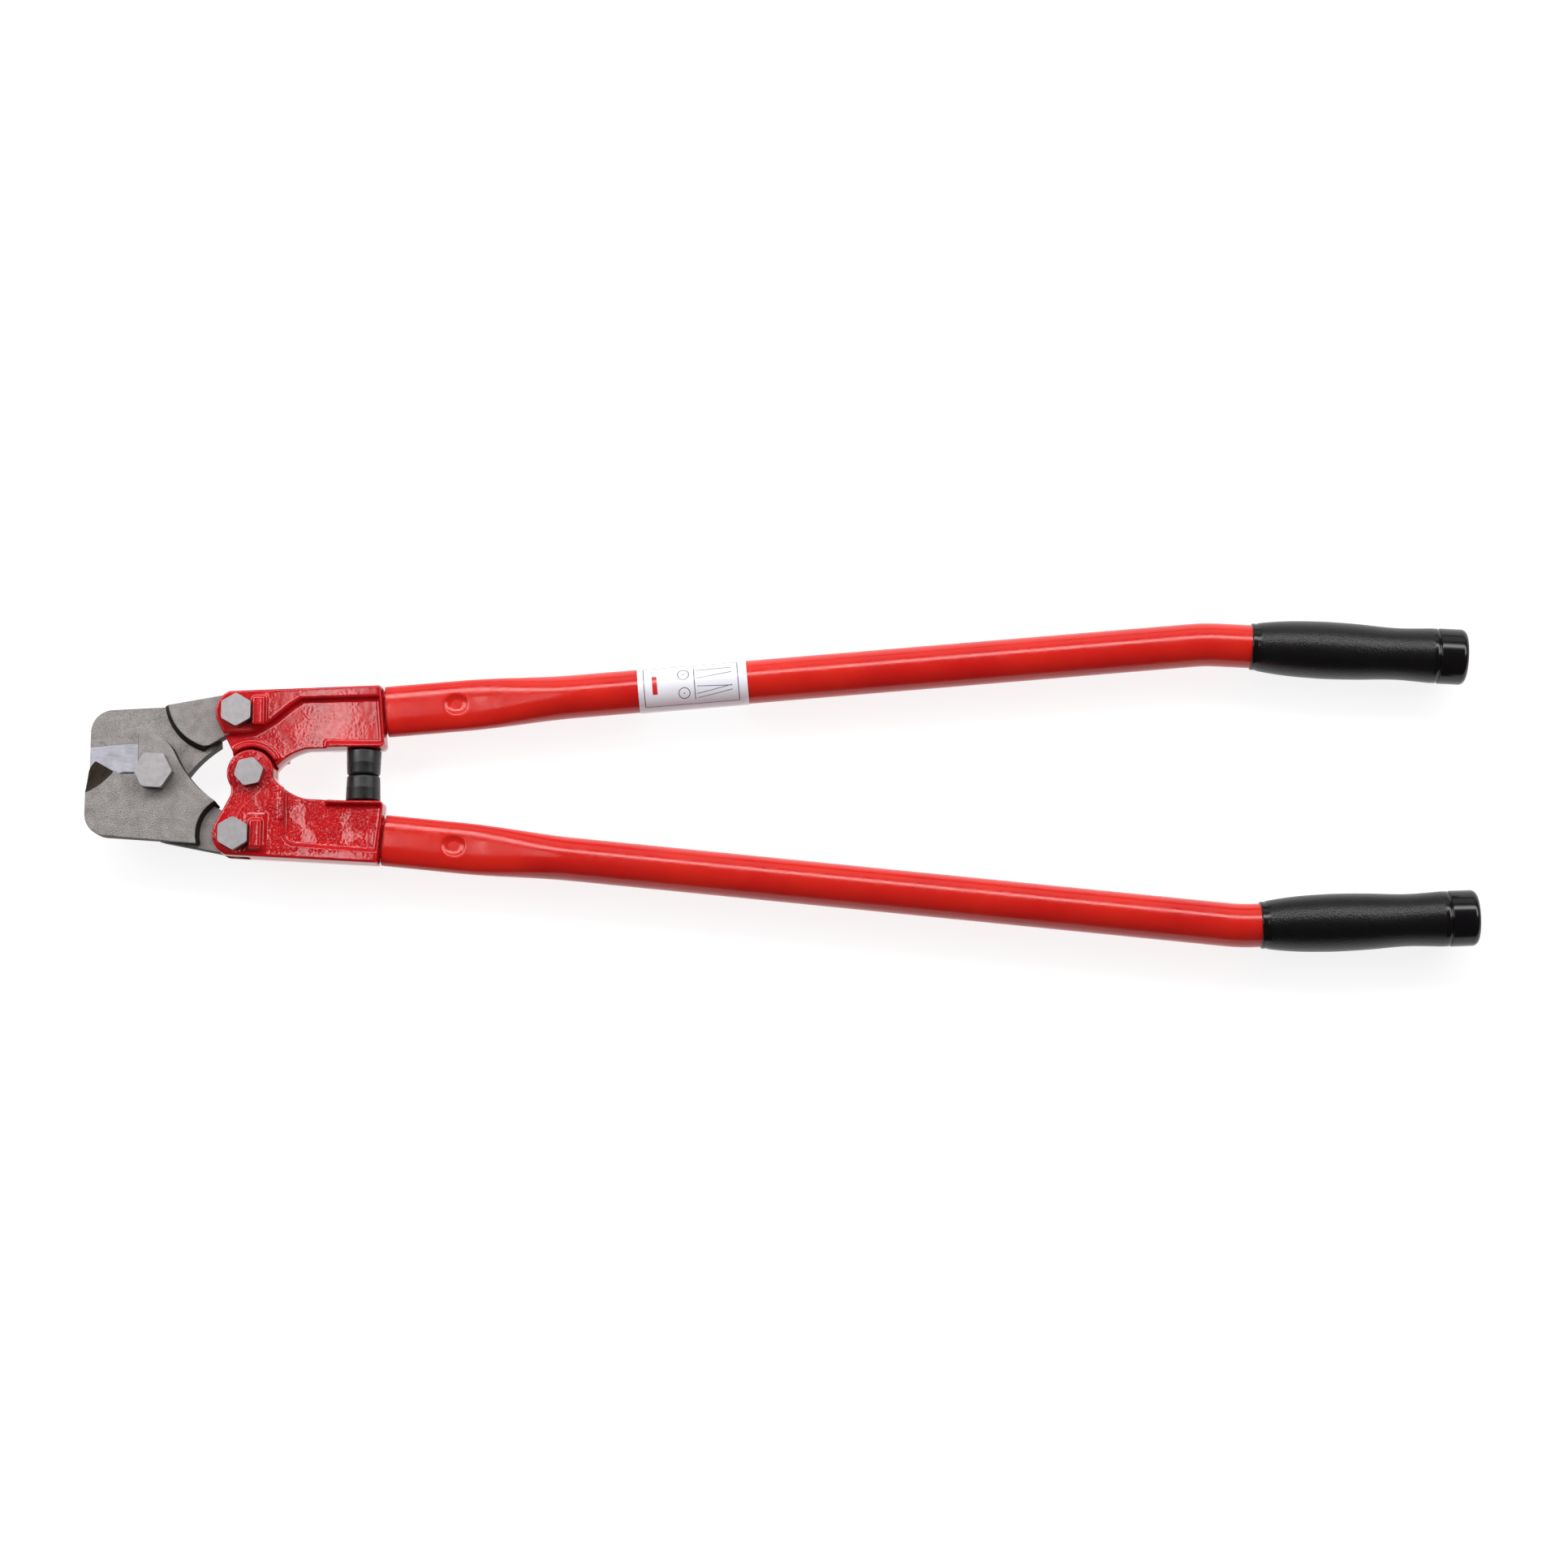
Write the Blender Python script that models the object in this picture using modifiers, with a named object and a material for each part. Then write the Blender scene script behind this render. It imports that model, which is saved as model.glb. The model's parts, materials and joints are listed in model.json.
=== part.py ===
"""Heavy bolt cutters: two lapped blades, two cast handle heads, two tubes with grips.

Metres, +X from the jaws to the grips, +Y to the upper handle, +Z up off the surface that the tool lies on.
Every side piece is drawn as the lower one, with outwards as -Y, and the upper one is the same shape turned
over about the line through the jaw bolt and the handle pivot. Outlines are measured from the jaw bolt.
"""

import math

import bmesh
import bpy
from mathutils import Matrix, Vector

MM = 0.001
NAME = "bolt_cutters"

# Linkage
HANDLE_PIVOT_X = 61.85 * MM  # jaw bolt to handle pivot
LINK_X = 52.6 * MM  # jaw bolt to link bolts, along the tool
LINK_Y = 40.35 * MM  # link bolts off the centre line

# Clearances
GAP = 0.3 * MM  # between pieces that touch or slide
LINK_PLAY = 2.6 * MM  # more radius in the upper blade's link bore, where the linkage is open
LAP_CLEARANCE = 1.0 * MM  # round the other casting's ear
FORK_CLEARANCE = 3.4 * MM  # round the blade's eye, which wanders a little as the jaws open

# Blades
JAW_REACH = 45.0 * MM  # jaw bolt to the front of the jaws
JAW_HEIGHT = 42.3 * MM  # centre line to a blade's back, at the front
JAW_CORNER = 14.7 * MM
PLATE_THICKNESS = 12.85 * MM
TAIL_THICKNESS = 12.0 * MM
EYE_RADIUS = 13.4 * MM
SHOULDER_RADIUS = 25.3 * MM
TAIL_STEP_RADIUS = 33.8 * MM
LOBE_RADIUS = 24.0 * MM
EDGE_DROP = 1.6 * MM  # cutting edge below the jaw bolt's centre
EDGE_LAND = 1.2 * MM  # left under the ground bevel

# Bolts, nuts and washers: shank radius, width across flats, head, nut and washer heights
JAW_BOLT = dict(radius=7.0 * MM, flats=22.0 * MM, head=8.8 * MM, nut=10.0 * MM, washer=2.0 * MM, turn=27.0)
LINK_BOLT = dict(radius=6.0 * MM, flats=19.0 * MM, head=7.5 * MM, nut=9.0 * MM, washer=2.0 * MM, turn=0.0)
HANDLE_BOLT = dict(radius=5.0 * MM, flats=17.0 * MM, head=6.4 * MM, nut=8.0 * MM, washer=2.0 * MM, turn=43.0)
THREAD_END = 1.6 * MM  # bolt end past its nut
WASHER_OVER_FLATS = 4.0 * MM

# Cast handle heads
CASTING_THICKNESS = 26.0 * MM
CASTING_REACH = 85.5 * MM  # handle pivot to the end flange
OUTER_OVER_LINK = 14.2 * MM  # casting's outer edge outside the link bolt
CHEEK_RADIUS = 15.3 * MM
FORK_MOUTH = 17.4 * MM  # link bolt to the inner side of the fork's mouth
EAR_RADIUS = 16.0 * MM
NECK_SETBACK = 12.9 * MM  # neck's edge ahead of the handle pivot
NECK_LENGTH = 4.5 * MM  # straight edge between the ear and the cheek
FLANGE_OUTER = 17.0 * MM  # end flange outside the tube's axis
FLANGE_INNER = 22.6 * MM
POCKET_DEPTH = 4.0 * MM
POCKET_RIM = 9.6 * MM
END_RIM = 3.0 * MM
SEAT_Y = 16.8 * MM  # bumper seats off the centre line
SEAT_RIM = 4.6 * MM
LUG_LENGTH = 19.2 * MM
LUG_WIDTH = 8.4 * MM
LUG_HEIGHT = 4.8 * MM

# Tubes
TUBE_Y = 42.2 * MM  # tube's axis off the centre line, at the casting
TUBE_SPLAY = 5.27  # degrees outwards
TUBE_RETURN = 2.45  # degrees inwards past the bend
TUBE_RADIUS = 14.2 * MM
TUBE_WALL = 2.0 * MM
TUBE_GAP = 1.2 * MM  # left between the flange and the tube
TUBE_FLAT_WIDTH = 33.4 * MM  # flattened end, in the tool's plane
TUBE_FLAT_THICKNESS = 18.6 * MM
FLAT_POWER = 2.6  # how square the flattened section is; 2 is an ellipse
FLAT_LENGTH = 52.0 * MM
ROUND_FROM = 125.0 * MM  # where the tube is round again
BEND_RADIUS = 130.0 * MM
UPPER_BEND_X = 684.5 * MM
LOWER_BEND_X = 706.0 * MM
TANG_LENGTH = 46.0 * MM
DIMPLE_AT = 47.5 * MM
DIMPLE_RADIUS = 14.0 * MM
DIMPLE_DEPTH = 1.1 * MM

# Grips
UPPER_GRIP_X = 714.3 * MM
LOWER_GRIP_X = 718.9 * MM
GRIP_LENGTH = 141.3 * MM
GRIP_WALL = 1.4 * MM
GRIP_BULGE = TUBE_RADIUS + 4.7 * MM
GRIP_WAIST = TUBE_RADIUS + 2.7 * MM
GRIP_RING = TUBE_RADIUS + 4.05 * MM
GRIP_END_WALL = 6.0 * MM

# Bumpers and label
BUMPER_X = 134.2 * MM
BUMPER_RADIUS = 11.3 * MM
BUMPER_TIP_RADIUS = 10.8 * MM
STUD_RADIUS = 4.0 * MM
STUD_IN_CASTING = 14.0 * MM
STUD_IN_BUMPER = 9.0 * MM
LABEL_START = 166.5 * MM  # along the upper tube, from its end
LABEL_LENGTH = 71.5 * MM
LABEL_THICKNESS = 0.3 * MM

SIDES = 24
HALF = CASTING_THICKNESS / 2
PLATE_TOP = GAP / 2 + PLATE_THICKNESS
LINK = Vector((LINK_X, -LINK_Y))
HANDLE_PIVOT = Vector((HANDLE_PIVOT_X, 0.0))
TUBE_START = Vector((HANDLE_PIVOT_X + CASTING_REACH, -TUBE_Y))
LAP_RADIUS = EAR_RADIUS + LAP_CLEARANCE


def mm(x, y):
    return Vector((x, y)) * MM


def polar(centre, radius, degrees):
    angle = math.radians(degrees)
    return Vector(centre) + radius * Vector((math.cos(angle), math.sin(angle)))


def arc(centre, radius, start, end, step=12.0):
    """Points on an arc, from one angle in degrees to the other."""
    count = max(2, math.ceil(abs(end - start) / step))
    return [polar(centre, radius, start + (end - start) * i / count) for i in range(count + 1)]


def bowed(start, end, sag, count=6):
    """Points on the shallow parabola from start to end that bows to the left of its chord by sag."""
    chord = end - start
    left = Vector((-chord.y, chord.x)).normalized()
    return [start + chord * t + left * 4 * sag * t * (1 - t) for t in (i / count for i in range(count + 1))]


def clear_scene():
    for obj in list(bpy.data.objects):
        bpy.data.objects.remove(obj)
    for name in (NAME, "cutters"):
        bpy.context.scene.collection.children.link(bpy.data.collections.new(name))


def finish(name, hex_colour, metallic, roughness):
    """A Principled material; the colour is sRGB hex."""
    colour = [int(hex_colour[i : i + 2], 16) / 255 for i in (0, 2, 4)]
    linear = [c / 12.92 if c <= 0.04045 else ((c + 0.055) / 1.055) ** 2.4 for c in colour]
    material = bpy.data.materials.new(name)
    material.use_nodes = True
    shader = material.node_tree.nodes["Principled BSDF"]
    shader.inputs["Base Color"].default_value = (*linear, 1.0)
    shader.inputs["Metallic"].default_value = metallic
    shader.inputs["Roughness"].default_value = roughness
    return material


def keep(obj, name, material):
    """Names a finished piece, gives it its material and puts it in the tool's collection."""
    obj.name = name
    obj.data.materials.clear()
    obj.data.materials.append(material)
    move_to(obj, NAME)
    obj.data.shade_smooth()
    obj.data.set_sharp_from_angle(angle=math.radians(30))
    return obj


def move_to(obj, collection):
    for owner in list(obj.users_collection):
        owner.objects.unlink(obj)
    bpy.data.collections[collection].objects.link(obj)


def settle(obj):
    """Puts a shape's place and turn into its mesh, so that its origin is the jaw bolt's."""
    obj.data.transform(obj.matrix_basis)
    obj.matrix_basis = Matrix.Identity(4)
    return obj


def combine(target, other, operation):
    """Adds a Boolean to target; other becomes its hidden helper and moves with it."""
    modifier = target.modifiers.new(operation.lower(), "BOOLEAN")
    modifier.operation = operation
    modifier.object = other
    other.parent = target
    other.hide_render = True
    other.display_type = "WIRE"
    move_to(other, "cutters")


def join(target, *others):
    for other in others:
        combine(target, other, "UNION")


def cut(target, *others):
    for other in others:
        combine(target, other, "DIFFERENCE")


def prism(outline, low, high):
    """A flat outline, filled and extruded from one height to the other, as a mesh."""
    curve = bpy.data.curves.new("outline", "CURVE")
    curve.dimensions = "2D"
    curve.fill_mode = "BOTH"
    curve.extrude = (high - low) / 2
    spline = curve.splines.new("POLY")
    spline.points.add(len(outline) - 1)
    for point, place in zip(spline.points, outline):
        point.co = (place[0], place[1], 0.0, 1.0)
    spline.use_cyclic_u = True
    drawn = bpy.data.objects.new("outline", curve)
    bpy.context.scene.collection.objects.link(drawn)
    evaluated = drawn.evaluated_get(bpy.context.evaluated_depsgraph_get())
    mesh = bpy.data.meshes.new_from_object(evaluated)
    shape = bmesh.new()
    shape.from_mesh(mesh)
    bmesh.ops.remove_doubles(shape, verts=shape.verts, dist=1e-6)
    bmesh.ops.recalc_face_normals(shape, faces=shape.faces)
    shape.to_mesh(mesh)
    shape.free()
    solid = bpy.data.objects.new("prism", mesh)
    solid.location.z = (high + low) / 2
    bpy.data.objects.remove(drawn)
    bpy.context.scene.collection.objects.link(solid)
    return settle(solid)


def cylinder(centre, radius, low, high, sides=SIDES, turn=0.0):
    """A cylinder or a regular prism standing on the tool's plane."""
    bpy.ops.mesh.primitive_cylinder_add(
        vertices=sides,
        radius=radius,
        depth=high - low,
        location=(centre[0], centre[1], (low + high) / 2),
        rotation=(0.0, 0.0, math.radians(turn)),
    )
    return settle(bpy.context.object)


def box(centre, size, rounding=0.0):
    bpy.ops.mesh.primitive_cube_add(size=1.0)
    solid = bpy.context.object
    solid.data.transform(Matrix.Translation(centre) @ Matrix.Diagonal((*size, 1.0)))
    if rounding:
        bevel = solid.modifiers.new("rounding", "BEVEL")
        bevel.width = rounding
        bevel.segments = 3
    return solid


def turned(profile, matrix, sides=SIDES):
    """A profile of (radius, height) pairs, from top to bottom on its outer side, turned about Z."""
    mesh = bpy.data.meshes.new("profile")
    places = [(radius, 0.0, height) for radius, height in profile]
    count = len(places)
    closed = profile[0][0] > 0 and profile[-1][0] > 0
    edges = [(i, (i + 1) % count) for i in range(count if closed else count - 1)]
    mesh.from_pydata(places, edges, [])
    solid = bpy.data.objects.new("turned", mesh)
    bpy.context.scene.collection.objects.link(solid)
    screw = solid.modifiers.new("screw", "SCREW")
    screw.steps = screw.render_steps = sides
    screw.use_merge_vertices = True
    screw.merge_threshold = 1e-5
    solid.matrix_basis = matrix
    return solid


def fasten(obj, body, over=False):
    """Parents a piece to its body's empty; over turns it over for the upper side."""
    flip = Matrix.Rotation(math.pi, 4, "X") if over else Matrix.Identity(4)
    obj.parent = body
    obj.matrix_basis = Matrix.Translation(-body.location) @ flip @ obj.matrix_basis
    return obj


def plate_outline():
    """A jaw plate: cutting edge, lobe over the jaw bolt, shoulder round the link bolt, back and front."""
    front = -JAW_REACH
    tip = Vector((front + 4 * MM, 8.3 * MM))
    edge_start = Vector((front + 18.2 * MM, 0.0))
    edge_end = Vector((edge_start.x + 7 * MM, -EDGE_DROP))
    root_fillet = 4 * MM
    lobe = mm(-9, 2)
    lobe_left = lobe.x - LOBE_RADIUS * math.cos(math.radians(84))
    corner = Vector((front + JAW_CORNER, -JAW_HEIGHT + JAW_CORNER))
    return [
        *bowed(edge_start, edge_end, -0.6 * MM, 3),
        *arc((lobe_left - root_fillet, root_fillet - EDGE_DROP), root_fillet, -90, 0, 30),
        *arc(lobe, LOBE_RADIUS, 96, 25),
        *bowed(polar(lobe, LOBE_RADIUS, 25), polar(LINK, SHOULDER_RADIUS, 121), -3 * MM)[1:-1],
        *arc(LINK, SHOULDER_RADIUS, 121, 195),
        *arc(corner, JAW_CORNER, 265.5, 180),
        *bowed(Vector((front, -1 * MM)), tip, 1.2 * MM, 4),
    ]


def tail_outline():
    """A blade's tail: the arc where it steps down to the jaw plate, its back, eye and inner edge."""
    step = LINK + mm(-13.1, -10.15)
    return [
        *arc(step, TAIL_STEP_RADIUS, 106, 171),
        *arc(LINK, EYE_RADIUS, 259.4, 467),
        LINK + mm(-8.7, 15.75),
        LINK + mm(-19.1, 21.95),
    ]


def ground_bevel():
    """The wedge ground off a plate's front, from its face down to the cutting edge."""
    start = Vector((-JAW_REACH + 18.2 * MM, 0.0, PLATE_TOP))
    end = Vector((-JAW_REACH, -14.2 * MM, PLATE_TOP))
    edge = Vector((-JAW_REACH + 4 * MM, 8.3 * MM, GAP / 2 + EDGE_LAND))
    along = (end - start).normalized()
    normal = (end - start).cross(edge - start).normalized()
    if normal.z < 0:
        normal.negate()
    across = normal.cross(along)
    wedge = box((0, 0, 0), (40 * MM, 60 * MM, 30 * MM))
    wedge.data.transform(Matrix.Translation((18 * MM, 0, 15 * MM)))
    turn = Matrix((along, across, normal)).transposed().to_4x4()
    wedge.matrix_basis = Matrix.Translation(start) @ turn
    return settle(wedge)


def blade(name, link_bore, material, body, over):
    through = CASTING_THICKNESS
    solid = prism(plate_outline(), GAP / 2, PLATE_TOP)
    join(solid, prism(tail_outline(), -TAIL_THICKNESS / 2, TAIL_THICKNESS / 2))
    cut(
        solid,
        cylinder((0, 0), JAW_BOLT["radius"] + GAP, -through, through),
        cylinder(LINK, link_bore, -through, through),
        ground_bevel(),
    )
    return fasten(keep(solid, name, material), body, over)


def tube_axes():
    """Unit vectors along the lower tube and across it, towards the centre line."""
    splay = math.radians(TUBE_SPLAY)
    along = Vector((math.cos(splay), -math.sin(splay)))
    return along, Vector((-along.y, along.x))


def flange_ends():
    across = tube_axes()[1]
    return TUBE_START - across * FLANGE_OUTER, TUBE_START + across * FLANGE_INNER


def casting_outline():
    """A handle head: cheek round the link bolt, neck, ear round the handle pivot, arch, seat, flange."""
    outer, inner = flange_ends()
    cheek = 180 + math.degrees(math.asin(OUTER_OVER_LINK / CHEEK_RADIUS))
    neck = 180 + math.degrees(math.acos(NECK_SETBACK / EAR_RADIUS))
    ear = arc(HANDLE_PIVOT, EAR_RADIUS, neck, -10)
    arch_end = Vector((HANDLE_PIVOT_X + 36 * MM, -SEAT_Y + 1 * MM))
    return [
        *arc(LINK, CHEEK_RADIUS, cheek, 146),
        ear[0] - Vector((0, NECK_LENGTH)),
        *ear,
        *bowed(ear[-1], arch_end, -2.2 * MM)[1:],
        Vector((BUMPER_X - 13.5 * MM, -SEAT_Y)),
        Vector((inner.x - 2.5 * MM, -SEAT_Y)),
        inner,
        outer,
    ]


def pocket_end():
    """The recesses' three corners beside the outer rim, the end rim and the bumper's seat."""
    along, across = tube_axes()
    outer, inner = flange_ends()
    top = -SEAT_Y - SEAT_RIM
    return [
        outer + across * POCKET_RIM - along * END_RIM,
        Vector((inner.x - END_RIM, top)),
        Vector((BUMPER_X - 24 * MM, top)),
    ]


def plain_face_recess():
    """Recess in the face away from the ear: it leaves the link pad and the outer rim standing."""
    corners = [(-14, 16.35), (5.2, 15.65), (11.2, 14.75), (17.2, 11.35), (24.9, 6.05), (35.4, -3), (42, -7.2)]
    outline = [LINK + mm(x, y) for x, y in corners] + pocket_end()
    top, outside = 9 * MM, LINK_X - 20 * MM
    return outline + [Vector((outline[-1].x, top)), Vector((outside, top)), Vector((outside, outline[0].y))]


def ear_face_pocket():
    """Pocket in the face with the ear, behind the ridge across the neck."""
    ridge = HANDLE_PIVOT_X + 22.5 * MM
    corner = LINK + mm(39.5, 1.5)
    outline = [Vector((ridge, 9 * MM)), Vector((ridge + 1.5 * MM, corner.y + 2 * MM))]
    outline += arc(corner, 7 * MM, 200, 260, 30) + pocket_end()
    return outline + [Vector((outline[-1].x, 9 * MM))]


def oval(width, thickness, power, sides=SIDES):
    """A superellipse: across the tube in the tool's plane, and up."""
    points = []
    for i in range(sides):
        angle = 2 * math.pi * (i + 0.5) / sides
        x, y = math.cos(angle), math.sin(angle)
        across = math.copysign(abs(x) ** (2 / power), x) * width / 2
        points.append((across, math.copysign(abs(y) ** (2 / power), y) * thickness / 2))
    return points


def ring(centre, along, section):
    across = Vector((-along.y, along.x))
    return [Vector((*(centre + across * x), z)) for x, z in section]


def loft(rings, closed):
    """A skin over rings of points: closed joins the last ring to the first, or else the ends get caps."""
    mesh = bpy.data.meshes.new("loft")
    shape = bmesh.new()
    rows = [[shape.verts.new(point) for point in points] for points in rings]
    pairs = list(zip(rows, rows[1:])) + ([(rows[-1], rows[0])] if closed else [])
    for near, far in pairs:
        for i in range(len(near)):
            j = (i + 1) % len(near)
            shape.faces.new((near[i], near[j], far[j], far[i]))
    if not closed:
        shape.faces.new(rows[0])
        shape.faces.new(rows[-1])
    bmesh.ops.recalc_face_normals(shape, faces=shape.faces)
    shape.to_mesh(mesh)
    shape.free()
    solid = bpy.data.objects.new("loft", mesh)
    bpy.context.scene.collection.objects.link(solid)
    return solid


def tang():
    """The tongue of the casting that fills the tube's flattened end."""
    along = tube_axes()[0]
    inside = 2 * (TUBE_WALL + GAP)
    section = oval(TUBE_FLAT_WIDTH - inside, TUBE_FLAT_THICKNESS - inside, FLAT_POWER)
    return loft([ring(TUBE_START + along * at, along, section) for at in (-4 * MM, TANG_LENGTH)], False)


def lug(face):
    """The block beside the link bolt that keeps its head from turning."""
    left = LINK_X + LINK_BOLT["flats"] / 2 + GAP
    root = 1 * MM
    size = (LUG_WIDTH, LUG_LENGTH, LUG_HEIGHT + root)
    height = face * (HALF + (LUG_HEIGHT - root) / 2)
    return box((left + LUG_WIDTH / 2, -LINK_Y, height), size, rounding=1 * MM)


def across_tool(x, radius, low, high):
    """A cylinder along Y."""
    solid = cylinder((0, 0), radius, 0, high - low)
    solid.matrix_basis = Matrix.Translation((x, low, 0)) @ Matrix.Rotation(-math.pi / 2, 4, "X")
    return settle(solid)


def casting(name, material, body, over):
    through = CASTING_THICKNESS
    fork = TAIL_THICKNESS / 2 + GAP
    slot = EYE_RADIUS + FORK_CLEARANCE
    mouth = box((LINK_X - 20 * MM, -LINK_Y + FORK_MOUTH - 25 * MM, 0), (40 * MM, 50 * MM, 2 * fork))
    floor = HALF - POCKET_DEPTH
    solid = prism(casting_outline(), -HALF, HALF)
    join(solid, tang(), lug(-1 if over else 1))
    cut(
        solid,
        cylinder(HANDLE_PIVOT, LAP_RADIUS, -through, GAP / 2, 2 * SIDES),
        cylinder(HANDLE_PIVOT, HANDLE_BOLT["radius"] + GAP, -through, through),
        cylinder(LINK, LINK_BOLT["radius"] + GAP, -through, through),
        cylinder(LINK, slot, -fork, fork, 2 * SIDES),
        mouth,
        prism(plain_face_recess(), -HALF - 1 * MM, -floor),
        prism(ear_face_pocket(), floor, HALF + 1 * MM),
        across_tool(BUMPER_X, STUD_RADIUS + GAP, -SEAT_Y - STUD_IN_CASTING - GAP, -SEAT_Y + 1 * MM),
    )
    return fasten(keep(solid, name, material), body, over)


def tube_path(bend_x, end_x):
    """(place, direction, distance) along a tube: straight, bent inwards, straight again."""
    along = tube_axes()[0]
    back = math.radians(TUBE_RETURN)
    after = Vector((math.cos(back), math.sin(back)))
    turn = math.radians(TUBE_SPLAY + TUBE_RETURN)
    bend = TUBE_START + along * ((bend_x - TUBE_START.x) / along.x)
    tangent = BEND_RADIUS * math.tan(turn / 2)
    length = (bend - TUBE_START).length - tangent
    taper = [FLAT_LENGTH + (ROUND_FROM - FLAT_LENGTH) * i / 4 for i in range(5)]
    path = [(TUBE_START + along * at, along, at) for at in [TUBE_GAP, *taper]]
    centre = TUBE_START + along * length + Vector((-along.y, along.x)) * BEND_RADIUS
    steps = 4
    for i in range(steps + 1):
        angle = -90 - TUBE_SPLAY + math.degrees(turn) * i / steps
        heading = Vector((-math.sin(math.radians(angle)), math.cos(math.radians(angle))))
        path.append((polar(centre, BEND_RADIUS, angle), heading, length + i))
    path.append((bend + after * ((end_x - bend.x) / after.x), after, length + steps + 1))
    return path


def tube_section(distance, inset):
    """The tube's section: flattened over the tang, then round."""
    share = min(1.0, max(0.0, (distance - FLAT_LENGTH) / (ROUND_FROM - FLAT_LENGTH)))
    share = share * share * (3 - 2 * share)
    width = TUBE_FLAT_WIDTH + (2 * TUBE_RADIUS - TUBE_FLAT_WIDTH) * share
    thickness = TUBE_FLAT_THICKNESS + (2 * TUBE_RADIUS - TUBE_FLAT_THICKNESS) * share
    return oval(width - 2 * inset, thickness - 2 * inset, FLAT_POWER + (2 - FLAT_POWER) * share)


def dimple(side):
    """A ball that presses the mark over the tang into the tube's flat side."""
    along = tube_axes()[0]
    place = TUBE_START + along * DIMPLE_AT
    height = TUBE_FLAT_THICKNESS / 2 + DIMPLE_RADIUS - DIMPLE_DEPTH
    bpy.ops.mesh.primitive_uv_sphere_add(
        segments=SIDES, ring_count=16, radius=DIMPLE_RADIUS, location=(place.x, place.y, side * height)
    )
    return settle(bpy.context.object)


def tube(name, bend_x, grip_x, material, body, over):
    end_x = grip_x + GRIP_LENGTH - GRIP_END_WALL - 2 * MM
    path = tube_path(bend_x, end_x)
    outside = [ring(place, heading, tube_section(at, 0)) for place, heading, at in path]
    inside = [ring(place, heading, tube_section(at, TUBE_WALL)) for place, heading, at in reversed(path)]
    solid = loft(outside + inside, True)
    cut(solid, dimple(1), dimple(-1))
    return fasten(keep(solid, name, material), body, over)


def along_tube(place, heading):
    """The matrix that stands a turned piece's Z axis along the tube."""
    upright = Vector((heading.x, heading.y, 0)).to_track_quat("Z", "X").to_matrix().to_4x4()
    return Matrix.Translation((place.x, place.y, 0)) @ upright


def grip(name, bend_x, grip_x, material, body, over):
    """A rubber sleeve with a swelling, a waist and a smooth end ring."""
    bore = TUBE_RADIUS + GAP
    lip = bore + GRIP_WALL
    ring_start = GRIP_LENGTH - 18 * MM
    waist = GRIP_LENGTH - 44 * MM
    profile = [
        (0, GRIP_LENGTH),
        (GRIP_RING - 5 * MM, GRIP_LENGTH),
        (GRIP_RING - 1.5 * MM, GRIP_LENGTH - 1.5 * MM),
        (GRIP_RING, GRIP_LENGTH - 5 * MM),
        (GRIP_RING, ring_start),
        (GRIP_RING - 0.6 * MM, ring_start - 2 * MM),
        (GRIP_WAIST + 0.5 * MM, waist + 10 * MM),
        (GRIP_WAIST, waist),
        (GRIP_WAIST + 0.6 * MM, waist - 8 * MM),
        (GRIP_BULGE - 0.9 * MM, 73 * MM),
        (GRIP_BULGE, 50 * MM),
        (GRIP_BULGE - 0.5 * MM, 34 * MM),
        (lip + 1.8 * MM, 15 * MM),
        (lip, 2 * MM),
        (lip - 0.5 * MM, 0),
        (bore, 0),
        (bore, GRIP_LENGTH - GRIP_END_WALL),
        (0, GRIP_LENGTH - GRIP_END_WALL),
    ]
    end_of_tube, heading, _ = tube_path(bend_x, grip_x)[-1]
    solid = turned(profile, along_tube(end_of_tube, heading))
    return fasten(keep(solid, name, material), body, over)


def bumper(name, material, body, over):
    """A rubber stop on the casting's seat: the two meet when the tool is shut."""
    height = SEAT_Y - 1.5 * GAP
    edge = 1 * MM
    bore = STUD_RADIUS + GAP
    profile = [
        (0, height),
        (BUMPER_TIP_RADIUS - edge, height),
        (BUMPER_TIP_RADIUS, height - edge),
        (BUMPER_RADIUS, edge),
        (BUMPER_RADIUS - edge / 2, 0),
        (bore, 0),
        (bore, STUD_IN_BUMPER + GAP),
        (0, STUD_IN_BUMPER + GAP),
    ]
    upright = Matrix.Translation((BUMPER_X, -SEAT_Y + GAP, 0)) @ Matrix.Rotation(-math.pi / 2, 4, "X")
    return fasten(keep(turned(profile, upright), name, material), body, over)


def stud(name, material, body, over):
    solid = across_tool(BUMPER_X, STUD_RADIUS, -SEAT_Y - STUD_IN_CASTING, -SEAT_Y + STUD_IN_BUMPER)
    return fasten(keep(solid, name, material), body, over)


def label(name, material, body, over):
    along = tube_axes()[0]
    inner = TUBE_RADIUS + GAP
    outer = inner + LABEL_THICKNESS
    profile = [(outer, LABEL_LENGTH), (outer, 0), (inner, 0), (inner, LABEL_LENGTH)]
    solid = turned(profile, along_tube(TUBE_START + along * LABEL_START, along), 2 * SIDES)
    return fasten(keep(solid, name, material), body, over)


def hexagon(centre, spec, low, high):
    return cylinder(centre, spec["flats"] / math.sqrt(3), low, high, 6, spec["turn"])


def nut_bottom(spec):
    return HALF + 2 * GAP + spec["washer"] + spec["nut"]


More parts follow.
